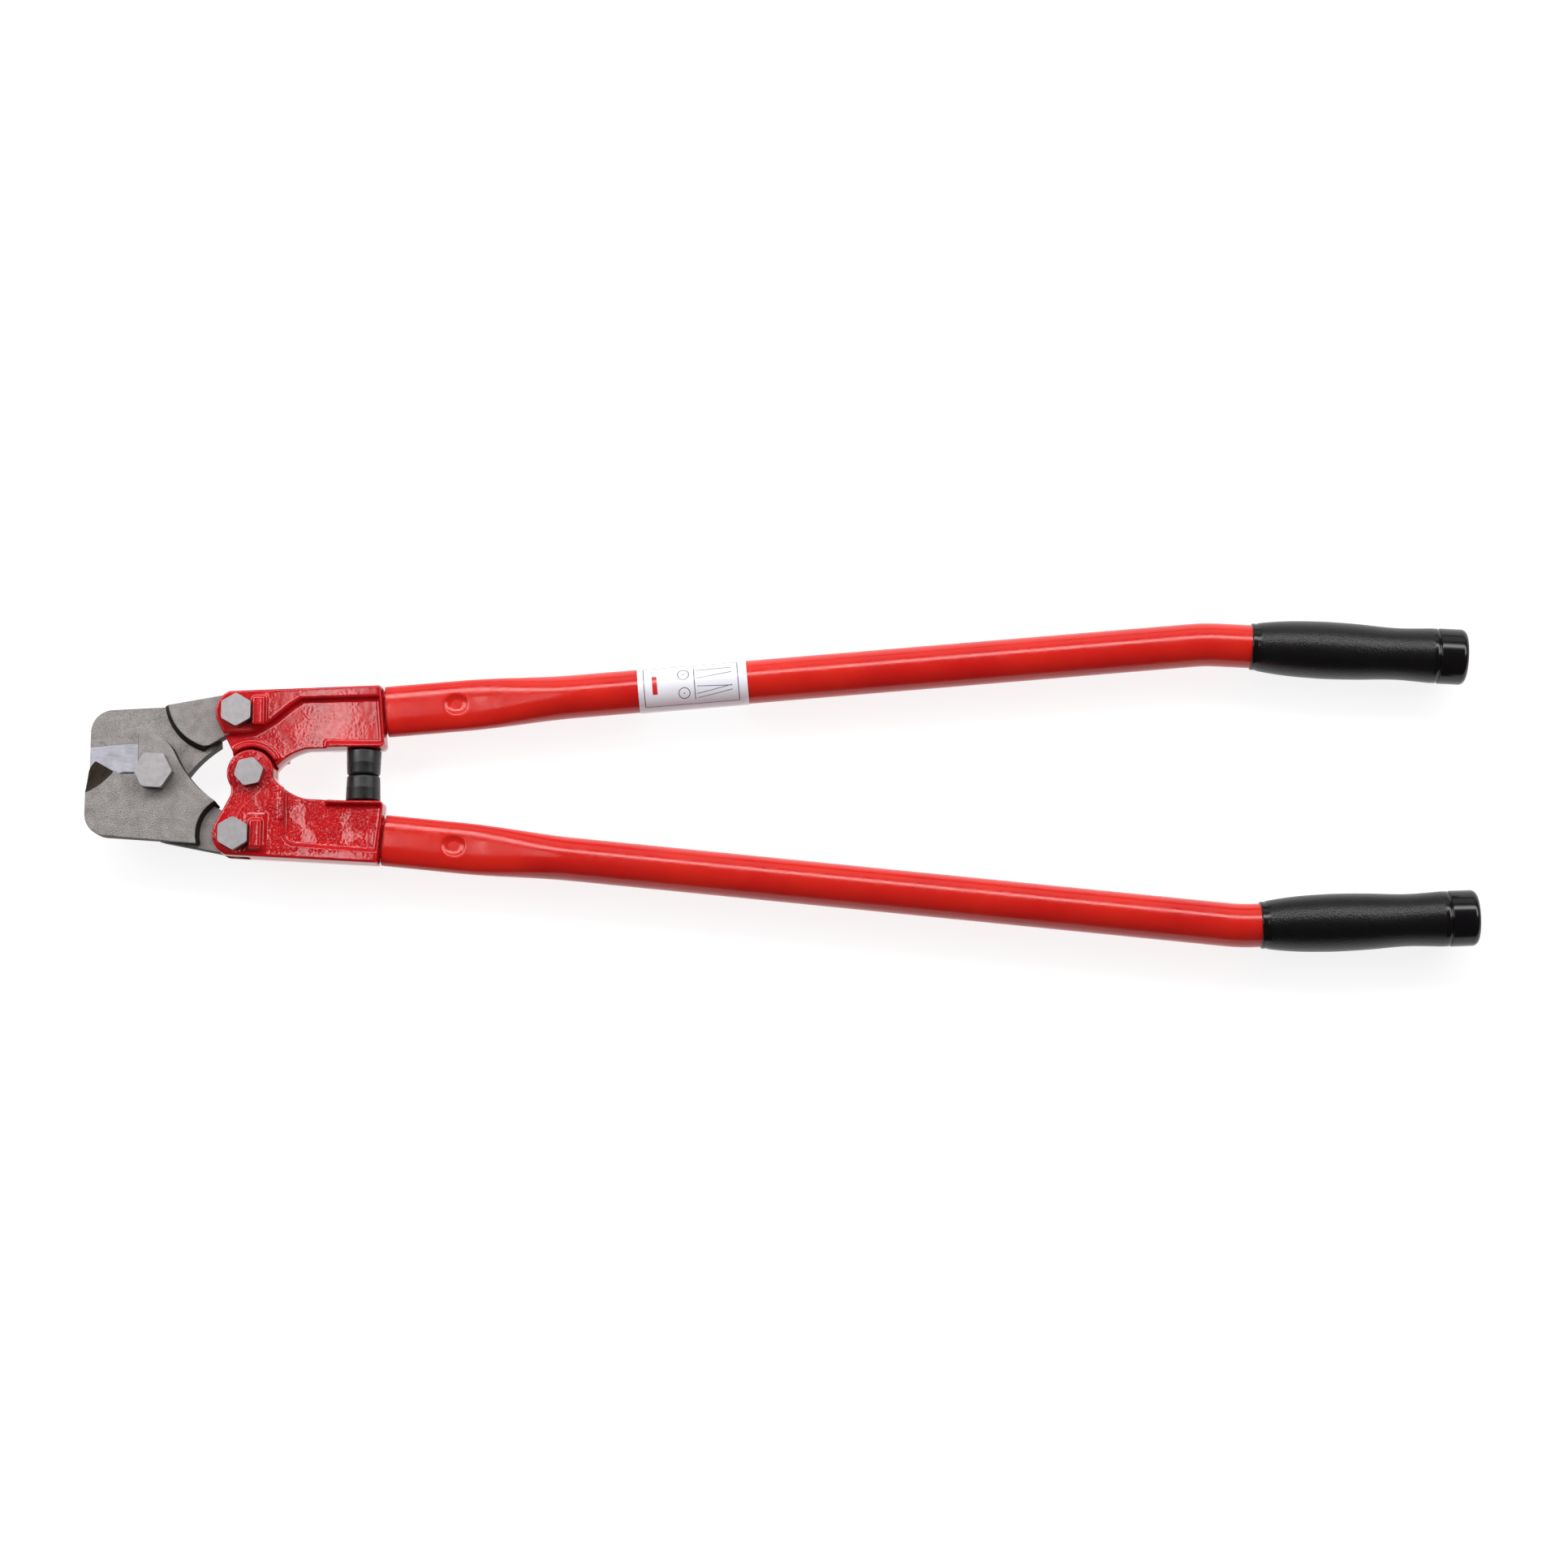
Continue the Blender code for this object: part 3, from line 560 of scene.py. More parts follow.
def printed_film(tube):
    """Laminated white film with plain printing: a thin frame, a red block, two rings and slanting grey lines."""
    finish = Finish("printed label film", Roughness=0.3, Coat_Weight=0.4, Coat_Roughness=0.12)
    spot = finish.add("ShaderNodeUVMap", {"uv_map": "print"})["UV"]
    parts = finish.add("ShaderNodeSeparateXYZ", {}, {"Vector": spot})
    along, across = parts["X"], parts["Y"]
    line, side = 0.32 * MM, 14.5 * MM  # half of a line's width and of the frame's
    middle = tube.label_length / 2
    boxes = [((at, 0), (line, side)) for at in (4 * MM, tube.label_length - 6 * MM)]
    boxes += [((middle - 1 * MM, at), (middle - 5 * MM, line)) for at in (-side, side)]
    boxes.append(((37 * MM, 0), (line, 11 * MM)))  # the divider
    grey = [finish.rectangle(along, across, *box) for box in boxes]
    for at in (-6 * MM, 6.5 * MM):
        centre = {"operation": "DISTANCE", 1: (30 * MM, at, 0)}
        reach = finish.add("ShaderNodeVectorMath", centre, {0: spot})["Value"]
        grey += [finish.within(reach, 3.6 * MM, line), finish.within(reach, 0, 0.5 * MM)]
    run, hinge = (50 * MM, 11.5 * MM), 38 * MM  # where the slanting lines lie, and where they start
    for start, slope in ((9 * MM, 0.02), (3 * MM, 0.12), (-2 * MM, -0.05), (-7 * MM, 0.18), (-10 * MM, 0.18)):
        level = finish.maths("MULTIPLY_ADD", along, -slope, across)
        grey.append(finish.rectangle(along, level, (run[0], start - slope * hinge), (run[1], line * 0.8)))
    printed = grey[0]
    for mark in grey[1:]:
        printed = finish.maths("MAXIMUM", printed, mark)
    red = finish.rectangle(along, across, (11 * MM, 0.5 * MM), (1.6 * MM, 6 * MM))
    paper = finish.tint(finish.speckle(12 * MM), SHADES["label film"], tube.film)
    finish.drive("Base Color", finish.inked(finish.inked(paper, printed, PRINT_GREY), red, PRINT_RED))
    finish.relief(finish.speckle(3 * MM), 0.03 * MM)
    return finish.material


def bevel_root(blades):
    """Where the ground bevel meets the cutting edge, at the back."""
    return Vector((-blades.reach + 18.2 * MM, 0.0))


def plate_outline(blades):
    """A jaw plate's outline, and the numbers of its points on the shoulder round the link bolt."""
    front = -blades.reach
    corner_radius = 14.7 * MM
    tip = Vector((front + 4 * MM, 8.3 * MM))
    edge_start = bevel_root(blades)
    edge_end = Vector((edge_start.x + 7 * MM, -1.6 * MM))
    root = 4 * MM
    lobe = arc(Vector((-9, 2)) * MM, 24 * MM, 96, 25)
    step = arc(LINK, 25.3 * MM, 121, 195)
    corner = Vector((front + corner_radius, -blades.height + corner_radius))
    before = [
        *bowed(edge_start, edge_end, -0.6 * MM),
        *arc((lobe[0].x - root, root + edge_end.y), root, -90, 0, 10),
        *lobe,
        *bowed(lobe[-1], step[0], -3 * MM)[1:-1],
    ]
    after = [*arc(corner, corner_radius, 265.5, 180), *bowed(Vector((front, -1 * MM)), tip, 1.2 * MM)]
    return before + step + after, range(len(before), len(before) + len(step))


def jaw_plate(blades):
    """The plate, with painted shade on its walls, of which the one round the link bolt leans."""
    outline, shoulder = plate_outline(blades)
    lean = 3.4 * MM
    bm = flat(outline, PLAY / 2)
    bm.verts.ensure_lookup_table()
    bottom = bm.faces[:][0]
    feet = [bm.verts[i] for i in shoulder]
    top = raised(bm, bottom, blades.plate)
    for vert in feet:
        away = vert.co.xy - LINK
        vert.co.xy = LINK + away.normalized() * (away.length - lean)
    shade_the_walls(bm, bottom, top)
    bevel(bm, list(top.edges), blades.edge)
    bevel(bm, list(bottom.edges), 0.2 * MM, 1)
    return bm


def shade_the_walls(bm, bottom, top):
    """Paints shade on the walls between these two faces, as a near-black finish."""
    bmesh.ops.recalc_face_normals(bm, faces=bm.faces)
    for face in bm.faces:
        if face not in (bottom, top):
            face.material_index = 1


def tail_block(blades):
    """The tail from its step to the eye round the link bolt; its step leans outwards from the free face."""
    step_centre, step_radius, lean = LINK + Vector((-13.1, -10.15)) * MM, 33.8 * MM, 3.0 * MM
    eye_radius = 13.4 * MM
    outline = [
        *arc(step_centre, step_radius, 106, 171),
        *arc(LINK, eye_radius, 259.4, 467),
        LINK + Vector((-8.7, 15.75)) * MM,
        LINK + Vector((-19.1, 21.95)) * MM,
    ]
    half, land = blades.tail / 2, 0.2 * MM
    bm = flat(outline, -half)
    bottom = bm.faces[:][0]
    middle = raised(bm, bottom, half + land)
    for vert in middle.verts:
        away = vert.co.xy - step_centre
        if abs(away.length - step_radius) < 0.01 * MM:
            vert.co.xy = step_centre + away.normalized() * (step_radius + lean)
    top = raised(bm, middle, half - land)
    shade_the_walls(bm, bottom, top)
    for face in (bottom, top):
        bevel(bm, list(face.edges), blades.edge)
    return bm


def ground_strip(blades):
    """The slab ground off the lapping face beside the cutting edge."""
    left, right, far, depth = -blades.reach - 5 * MM, -8 * MM, 12 * MM, 0.2 * MM
    outline = [Vector(point) for point in ((left, -17.2 * MM), (right, -21 * MM), (right, far), (left, far))]
    return coloured(prism(outline, -1 * MM, PLAY / 2 + depth), 2)


def ground_bevel(blades):
    """The wheel that hollows the front of the plate down to the cutting edge."""
    face_height = PLAY / 2 + blades.plate
    radius, reach = mm(64, 45)  # the wheel's, and that of the circle it leaves in the plate's face
    start, end = bevel_root(blades), Vector((-blades.reach, -14.2 * MM))
    chord = end - start
    outwards = Vector((chord.y, -chord.x)).normalized()
    centre = (start + end) / 2 + outwards * math.sqrt(reach**2 - (chord.length / 2) ** 2)
    height = face_height + math.sqrt(radius**2 - reach**2)
    bm = bmesh.new()
    place = Matrix.Translation((centre.x, centre.y, height))
    bmesh.ops.create_icosphere(bm, subdivisions=6, radius=radius, matrix=place)
    # the cut this wheel leaves is coloured dark brown
    return coloured(bm, 3)


def blade(blades, side):
    """One blade. The upper one's bore lets its link bolt stray, as the real linkage turns at changing ratios."""
    jaw_bore, through = 7.3 * MM, THROUGH / 2
    return carved(
        jaw_plate(blades),
        union=[tail_block(blades)],
        difference=[
            rod((0, 0), jaw_bore, -through, through),
            rod(LINK, LINK_BORES[side], -through, through),
            ground_strip(blades),
            ground_bevel(blades),
        ],
    )


def tube_axes():
    """Unit vectors along the lower tube and across it, towards the centre line."""
    along = Vector((math.cos(SPLAY), -math.sin(SPLAY)))
    return along, Vector((-along.y, along.x))


def tube_start(head):
    """Where the tube's axis leaves the flange."""
    return Vector((HANDLE.x + head.reach, TUBE_Y))


def flange_ends(head):
    """The flange's outer and inner corner."""
    across = tube_axes()[1]
    start = tube_start(head)
    return start - across * FLANGE_OUT, start + across * FLANGE_IN


def head_outline(head):
    """A handle head: cheek round the link bolt, neck, ear round the handle pivot, arch, seat, flange."""
    outer, inner = flange_ends(head)
    cheek_radius, setback = mm(15.3, 12.9)
    cheek = 180 + math.degrees(math.asin(14.2 * MM / cheek_radius))
    neck = 180 + math.degrees(math.acos(setback / EAR_RADIUS))
    ear = arc(HANDLE, EAR_RADIUS, neck, -10)
    arch_end = Vector((HANDLE.x + 36 * MM, -SEAT_Y + 1 * MM))
    return [
        *arc(LINK, cheek_radius, cheek, 146),
        Vector((HANDLE.x - setback, -14 * MM)),
        *ear,
        *bowed(ear[-1], arch_end, -2.2 * MM)[1:],
        Vector((BUMPER_X - 13.5 * MM, -SEAT_Y)),
        Vector((inner.x - 2.5 * MM, -SEAT_Y)),
        inner,
        outer,
    ]


def pocket_end(head):
    """The corners that both recesses share, beside the flange and the bumper's seat."""
    along, across = tube_axes()
    outer, inner = flange_ends(head)
    top = -SEAT_Y - 4.6 * MM
    return [
        outer + across * 9.6 * MM - along * 3 * MM,
        Vector((inner.x - 3 * MM, top)),
        Vector((BUMPER_X - 24 * MM, top)),
    ]


def plain_recess(head):
    """The recess of the plain face, open past the link bolt."""
    corners = [(-14, 16.35), (5.2, 15.65), (11.2, 14.75), (17.2, 11.35), (24.9, 6.05), (35.4, -3), (42, -7.2)]
    outline = [LINK + Vector(corner) * MM for corner in corners] + pocket_end(head)
    top, outside = 9 * MM, LINK.x - 20 * MM
    return outline + [Vector(point) for point in ((outline[-1].x, top), (outside, top), (outside, outline[0].y))]


def ear_pocket(head):
    """The recess of the face with the ear, from a ridge to the flange."""
    top, ridge = 9 * MM, HANDLE.x + 22.5 * MM
    corner = LINK + Vector((39.5, 1.5)) * MM
    outline = [Vector((ridge, top)), Vector((ridge + 1.5 * MM, corner.y + 2 * MM))]
    outline += arc(corner, 7 * MM, 200, 260, 10) + pocket_end(head)
    return outline + [Vector((outline[-1].x, top))]


def body_block(head):
    """The casting's outer shape, leaning in from the parting line to both faces."""
    half = head.thickness / 2
    bm = flat(head_outline(head), -half)
    bottom = bm.faces[:][0]
    seam = raised(bm, bottom, half)
    raised(bm, seam, half, head.draft)
    shift_in(bottom, head.draft)
    bmesh.ops.recalc_face_normals(bm, faces=bm.faces)
    return bm


def crescent(head):
    """The wall on the plain face that half surrounds the other casting's ear."""
    outer, inner = EAR_RADIUS + 4.2 * MM, EAR_RADIUS + 1.2 * MM
    outline = arc(HANDLE, outer, -125, -28) + arc(HANDLE, inner, -28, -125)
    half = head.thickness / 2
    return prism(outline, -half + 1.6 * MM, -half + head.pocket + 2 * MM)


def head_casting(head, side):
    """One casting, meshed evenly and smoothed, so that every edge is as round as the mould leaves it."""
    half = head.thickness / 2
    fork, fork_radius, pivot_bore = mm(6.3, 16.8, 5.3)  # the fork's half gap, and the room for the eye in it
    floor = half - head.pocket
    lug_left, lug_height = LINK.x + 9.5 * MM + PLAY, half + 1.9 * MM
    lug_height = -lug_height if SIDES[side] else lug_height
    lug = block((lug_left + 4.2 * MM, LINK.y, lug_height), mm(8.4, 19.2, 5.8), 1.2 * MM)
    pad = block((lug_left + 3.6 * MM, LINK.y + 1 * MM, half), mm(13, 25, 1.2), 0.5 * MM)
    ridge = block((HANDLE.x + 21 * MM, -20 * MM, half - 1 * MM), mm(3.2, 22, 4), 0.8 * MM)
    along = tube_axes()[0]
    start = tube_start(head)
    turn = Matrix.Rotation(math.atan2(along.y, along.x), 4, "Z")
    tongue = block((0, 0, 0), mm(24, 28.4, 13.8), 5 * MM)
    bmesh.ops.transform(tongue, matrix=Matrix.Translation((*(start + along * 9 * MM), 0)) @ turn, verts=tongue.verts)
    lean = 2.4 * MM
    plain = prism(plain_recess(head)[::-1], -floor, -half - 1 * MM, -lean)
    pocket = prism(ear_pocket(head), floor, half + 1 * MM, -lean)
    pocketed = as_bmesh(carved(body_block(head), difference=[plain, pocket]))
    obj = carved(
        pocketed,
        union=[tongue, lug, pad, ridge, crescent(head)],
        difference=[
            rod(HANDLE, EAR_RADIUS + 1 * MM, -THROUGH, PLAY / 2),
            rod(HANDLE, pivot_bore, -THROUGH, THROUGH),
            rod(LINK, LINK_BORES["lower"], -THROUGH, THROUGH),
            rod(LINK, fork_radius, -fork, fork),
            block((LINK.x - 20 * MM, LINK.y - 7.6 * MM, 0), (*mm(40, 50), 2 * fork)),
        ],
    )
    remesh = obj.modifiers.new("skin", "REMESH")
    remesh.mode = "VOXEL"
    remesh.voxel_size = head.voxel
    smooth = obj.modifiers.new("mould rounding", "SMOOTH")
    smooth.factor = 0.5
    smooth.iterations = 12
    baked(obj)
    pebble(obj, side)
    return obj


def pebble(obj, side):
    """Marks where the sand mould's grain shows: in patches on the lower head's faces, and hardly on the upper's."""
    over = SIDES[side]
    most, least = (0.06, 0.0) if over else (0.75, 0.05)
    patch_size, rim_y, rim_width = mm(13, -53.5, 4)
    values = []
    for vert, normal in zip(obj.data.vertices, obj.data.vertex_normals):
        level = ease(abs(normal.vector.z) * 3 - 1.9)
        patch = ease(0.75 + 2.4 * noise.noise(vert.co / patch_size))
        rim = 1.0 if over else ease((vert.co.y - rim_y) / rim_width)
        values.append(least + (most - least) * level * patch * rim)
    marked(obj, "pebbled", values)


def marked(obj, name, values):
    """Stores a value for each point of the mesh, which a finish can read."""
    obj.data.attributes.new(name, "FLOAT", "POINT").data.foreach_set("value", values)


def skin(rows, columns, place):
    """A closed skin: a grid with rows along it and columns round it, each point put where place(row, column) says."""
    bm = bmesh.new()
    bmesh.ops.create_grid(bm, x_segments=rows, y_segments=columns, size=0.5)
    for vert in bm.verts:
        vert.co = place(round((vert.co.x + 0.5) * rows) % rows, round((vert.co.y + 0.5) * columns) % columns)
    bmesh.ops.remove_doubles(bm, verts=bm.verts, dist=1e-6)
    bmesh.ops.recalc_face_normals(bm, faces=bm.faces)
    return bm


class TubePath:
    """A tube's axis in the tool's plane: straight, bent inwards, straight again."""

    def __init__(self, head, side):
        self.start = tube_start(head)
        self.along = tube_axes()[0]
        self.after = Vector((math.cos(RETURN), math.sin(RETURN)))
        self.corner = self.start + self.along * ((BENDS[side] - self.start.x) / self.along.x)
        self.tangent = BEND_RADIUS * math.tan((SPLAY + RETURN) / 2)
        self.straight = (self.corner - self.start).length - self.tangent
        self.bent = self.straight + BEND_RADIUS * (SPLAY + RETURN)

    def at(self, distance):
        """Place and direction at a distance along the axis."""
        if distance <= self.straight:
            return self.start + self.along * distance, self.along
        across = Vector((-self.along.y, self.along.x))
        if distance < self.bent:
            centre = self.start + self.along * self.straight + across * BEND_RADIUS
            heading = Matrix.Rotation((distance - self.straight) / BEND_RADIUS, 2) @ self.along
            return centre - Vector((-heading.y, heading.x)) * BEND_RADIUS, heading
        return self.corner + self.after * (self.tangent + distance - self.bent), self.after

    def reach(self, x):
        """The distance along the axis at which the last straight passes x."""
        return self.bent - self.tangent + (x - self.corner.x) / self.after.x


def tube_surface(tube, distance, inset, angle):
    """A point of the tube's section: across the tube, and up. The crimp presses both flat sides in."""
    share = ease((distance - FLAT_LENGTH) / (ROUND_FROM - FLAT_LENGTH))
    width = tube.flat_width + (2 * tube.radius - tube.flat_width) * share - 2 * inset
    height = tube.flat_height + (2 * tube.radius - tube.flat_height) * share - 2 * inset
    power = 2 / (2.6 - 0.6 * share)  # from a squarish section to an ellipse
    x, y = math.cos(angle), math.sin(angle)
    across = math.copysign(abs(x) ** power, x) * width / 2
    up = math.copysign(abs(y) ** power, y) * height / 2
    away = ((distance - CRIMP_AT) / CRIMP_LENGTH) ** 2 + (across / CRIMP_WIDTH) ** 2
    if away < 1 and inset < tube.wall:
        up -= math.copysign(tube.crimp_depth * (1 - away) ** 0.75, up)
    return across, up


def evenly(start, end, count):
    """count + 1 numbers from start to end."""
    return [start + (end - start) * i / count for i in range(count + 1)]


def handle_tube(head, tube, side):
    """A tube with a rolled lip, in rows of points that lie closest where the crimp is."""
    path = TubePath(head, side)
    end = path.reach(GRIP_STARTS[side] + tube.grip_length - 8 * MM)
    lip, fine, coarse, crimp_start, crimp_end, plain = mm(0.7, 0.6, 1.5, 38, 58, 126)
    turns = evenly(0, math.pi / 2, 5)[:-1]
    rows = [(TUBE_GAP + lip * (1 - math.sin(a)), lip * (1 - math.cos(a))) for a in turns]
    stations = [TUBE_GAP + lip + coarse * i for i in range(24)] + [crimp_start + fine * i for i in range(32)]
    stations += [crimp_end + coarse * i for i in range(46)] + evenly(plain, path.straight, 30)
    stations += evenly(path.straight, path.bent, 8)[1:]
    stations = [s for s in stations if s < end] + [end]
    rows = rows[::-1] + [(s, 0.0) for s in stations] + [(s, tube.wall) for s in reversed(stations[::3])]

    def place(row, column):
        distance, inset = rows[row]
        centre, heading = path.at(distance)
        across, up = tube_surface(tube, distance, inset, 2 * math.pi * column / ROUND)
        return Vector((*(centre + Vector((-heading.y, heading.x)) * across), up))

    return to_object(skin(len(rows), ROUND, place), side)


def grip_radius(distance):
    """Half the grip's width at a distance from its start, with the listed widths run smoothly together."""
    total, shifts = 0.0, (-4, -2, 0, 2, 4)
    for shift in shifts:
        at = min(GRIP_WIDTHS[-1][0], max(0, distance / MM + shift))
        for (near, thin), (far, thick) in zip(GRIP_WIDTHS, GRIP_WIDTHS[1:]):
            if near <= at <= far:
                total += (thin + (thick - thin) * (at - near) / (far - near)) / 2 * MM
                break
    return total / len(shifts)


def rounded(corner, radius, start, end, steps=6):
    """(radius, height) points round a profile's corner, between two angles in degrees."""
    return [tuple(polar(corner, radius, angle)) for angle in evenly(start, end, steps)]


def grip_sleeve(head, tube, side):
    """A sleeve that swells and narrows, with a rolled lip, a groove and a smooth rounded end."""
    total = tube.grip_length
    ring, ring_start, ring_edge, end_edge = 18.25 * MM, total - 18.5 * MM, 0.8 * MM, 4.2 * MM
    bore, lip, lip_edge, groove = tube.radius + PLAY, grip_radius(0.0), 0.9 * MM, 0.5 * MM
    profile = [(bore, 0.3 * MM), *rounded((lip - lip_edge, lip_edge), lip_edge, -90, 0)]
    profile += [(lip, 2.2 * MM), (lip - 0.1 * MM, 2.6 * MM), (lip - 0.1 * MM, 3.2 * MM), (lip + 0.1 * MM, 3.7 * MM)]
    profile += [(grip_radius(at * MM), at * MM) for at in range(5, 121)]
    edge = grip_radius(120 * MM)
    profile += [(edge, ring_start - 1 * MM), (edge - groove, ring_start - 0.6 * MM), (edge - groove, ring_start)]
    profile += rounded((ring - ring_edge, ring_start + 1 * MM), ring_edge, -90, 0, 4)
    profile += rounded((ring - end_edge, total - end_edge), end_edge, 0, 90, 12) + [(0.0, total)]
    inside = total - 6 * MM
    profile = [(0.0, inside), (bore, inside)] + profile
    path = TubePath(head, side)
    place, heading = path.at(path.reach(GRIP_STARTS[side]))
    upright = Vector((*heading, 0)).to_track_quat("Z", "X").to_matrix().to_4x4()
    matrix = Matrix.Translation((*place, 0)) @ upright
    obj = to_object(turned(profile, matrix, 128), side)
    inverse = matrix.inverted()
    heights = [(inverse @ vert.co).z / MM for vert in obj.data.vertices]
    marked(obj, "grained", [ease((height - 4) / 3) * ease((119.5 - height) / 1.5) for height in heights])
    return obj


def bumper(side):
    """A rubber stop standing on the casting's seat, with rounded rims and the mould's parting line round it."""
    height = SEAT_Y - 1.5 * PLAY
    tip, foot, tip_edge, foot_edge, bore, depth = mm(10.8, 11.3, 1.6, 0.8, 4.3, 9.3)
    line_half, line_rise = mm(0.5, 0.12)
    line, middle = height / 2, (tip + foot) / 2
    profile = [(0, depth), (bore, depth), (bore, 0), *rounded((foot - foot_edge, foot_edge), foot_edge, -90, 0)]
    profile += [(middle, line - line_half), (middle + line_rise, line), (middle, line + line_half)]
    profile += rounded((tip - tip_edge, height - tip_edge), tip_edge, 0, 90, 8) + [(0, height)]
    upright = Matrix.Translation((BUMPER_X, -SEAT_Y + PLAY, 0)) @ Matrix.Rotation(-math.pi / 2, 4, "X")
    return to_object(turned(profile, upright), side)


def moved(bm, centre):
    """bm stood on this point of the tool's plane."""
    bmesh.ops.translate(bm, verts=bm.verts, vec=(centre[0], centre[1], 0))
    return bm


def chamfered_hexagon(centre, flats, low, high, turn, both):
    """A hexagon whose corners are turned off to a circle on top, or on both sides."""
    corner, circle, rise = flats / math.sqrt(3), flats * 0.55, 0.8 * MM
    wide = corner + 0.2 * MM
    disc = [(0, low), (circle, low), (wide, low + rise)] if both else [(0, low), (wide, low)]
    disc += [(wide, high - rise), (circle, high), (0, high)]
    hexagon = rod(centre, corner, low - 1 * MM, high + 1 * MM, 6, turn)
    return as_bmesh(carved(hexagon, intersect=[moved(turned(disc), centre)]))


def softened(obj):
    """Rounds the edges a little, as wear does."""
    modifier = obj.modifiers.new("worn edges", "BEVEL")
    modifier.width = 0.25 * MM
    modifier.segments = 2
    modifier.limit_method = "ANGLE"
    modifier.angle_limit = math.radians(28)
    modifier.harden_normals = True
    return obj


def bolt(centre, radius, flats, head, nut, turn):
    """A hexagon bolt whose thread is a row of grooves."""
    past_nut, sunk, chamfer = mm(1.6, 1, 1)
    end = -(SEAT + WASHER + PLAY + nut + past_nut)
    thread_top = -SEAT - WASHER + 1 * MM
    profile = [(0, SEAT + sunk), (radius, SEAT + sunk), (radius, thread_top)]
    for i in range(int((thread_top - end - PITCH) / PITCH)):
        crest = thread_top - PITCH * i
        profile += [(radius, crest - 0.2 * MM), (radius - THREAD, crest - 0.7 * MM), (radius, crest - 1.3 * MM)]
    profile += [(radius, end + chamfer), (radius - chamfer, end), (0, end)]
    shank = moved(turned(profile, sides=64), centre)
    return softened(carved(chamfered_hexagon(centre, flats, SEAT, SEAT + head, turn, False), union=[shank]))


def nut_of(centre, radius, flats, nut, turn):
    """A hexagon nut under its washer."""
    top = -(SEAT + WASHER + PLAY)
    hexagon = chamfered_hexagon(centre, flats, top - nut, top, turn, True)
    return softened(carved(hexagon, difference=[rod(centre, radius + PLAY, top - 2 * nut, 0)]))


def washer_of(centre, radius, flats):
    """A flat washer with rounded rims."""
    outer, bore, low, edge = (flats + 4 * MM) / 2, radius + PLAY, -SEAT - WASHER, 0.4 * MM
    profile = [(bore, low), *rounded((outer - edge, low + edge), edge, -90, 0, 3)]
    profile += [*rounded((outer - edge, -SEAT - edge), edge, 0, 90, 3), (bore, -SEAT)]
    return to_object(moved(turned(profile), centre), "washer")


def label_ring(head, tube):
    """A film wrapped once round the tube, with its print laid out in metres along and across."""
    along, across = tube_axes()
    start = tube_start(head) + along * LABEL_AT
    inner, soft, end = tube.radius + PLAY, 0.1 * MM, tube.label_length
    outer = inner + 0.3 * MM
    rows = [(0.0, inner), (0.0, outer - soft), (soft, outer)]
    rows += [(distance, outer) for distance in evenly(0.0, end, 12)[1:-1]]
    rows += [(end - soft, outer), (end, outer - soft), (end, inner)]

    def place(row, column):
        distance, radius = rows[row]
        angle = 2 * math.pi * column / ROUND
        return Vector((*(start + along * distance + across * radius * math.cos(angle)), radius * math.sin(angle)))

    bm = skin(len(rows), ROUND, place)
    prints = bm.loops.layers.uv.new("print")
    for face in bm.faces:
        middle = label_spot(face.calc_center_median(), start, along, across, inner)[1]
        for loop in face.loops:
            distance, round_it = label_spot(loop.vert.co, start, along, across, inner)
            if abs(round_it - middle) > math.pi * inner / 2:
                round_it += math.copysign(2 * math.pi * inner, middle)
            loop[prints].uv = (distance, round_it)
    return to_object(bm, "label")


def label_spot(point, start, along, across, radius):
    """Distance along the label, and round it from the line that faces up once the tube is turned over."""
    away = point.xy - start
    return away.dot(along), radius * math.atan2(-away.dot(across), -point.z)


class Builder(bpy.types.Operator):
    """What every builder of this tool's pieces shares."""

    bl_options = {"REGISTER", "UNDO"}


class BOLTCUTTERS_OT_blades(Builder):
    """Builds both blades, with blasted faces, painted shade on their walls and ground edges"""

    bl_idname = "bolt_cutters.blades"
    bl_label = "Blades"

    def execute(self, context):
        blades = context.scene.bolt_cutters_blades
        finishes = [
            blasted_steel(blades.steel),
            # painted shade: near-black on the blades' step and side walls
            painted_shade_finish(blades.scale),
            ground_steel("ground steel beside the edge", blades.ground, 0.36, (0.1, 1, 1)),
            # the ground bevel, coloured dark brown all over
            ground_steel("dark brown ground bevel", blades.bevel_brown, 0.42, (1, 0.12, 1)),
        ]
        both_sides(lambda side: weighted(blade(blades, side)), "jaw", "blade", finishes, body="blade")
        return {"FINISHED"}


class BOLTCUTTERS_OT_heads(Builder):
    """Builds both cast handle heads"""

    bl_idname = "bolt_cutters.heads"
    bl_label = "Handle heads"

    def execute(self, context):
        head = context.scene.bolt_cutters_head
        enamel = [enamelled_casting(head)]
        both_sides(lambda side: head_casting(head, side), "head", "handle_casting", enamel, 180.0)
        return {"FINISHED"}


class BOLTCUTTERS_OT_tubes(Builder):
    """Builds both handle tubes"""

    bl_idname = "bolt_cutters.tubes"
    bl_label = "Handle tubes"

    def execute(self, context):
        head, tube = context.scene.bolt_cutters_head, context.scene.bolt_cutters_tube
        enamel = [enamelled_tube(tube)]
        both_sides(lambda side: handle_tube(head, tube, side), "handle_tube", "tube", enamel, 50.0)
        return {"FINISHED"}


class BOLTCUTTERS_OT_grips(Builder):
    """Builds both grips"""

    bl_idname = "bolt_cutters.grips"
    bl_label = "Grips"

    def execute(self, context):
        head, tube = context.scene.bolt_cutters_head, context.scene.bolt_cutters_tube
        vinyl = [grained_sleeve(tube.grip)]
        both_sides(lambda side: grip_sleeve(head, tube, side), "sleeve", "grip", vinyl, 60.0)
        return {"FINISHED"}


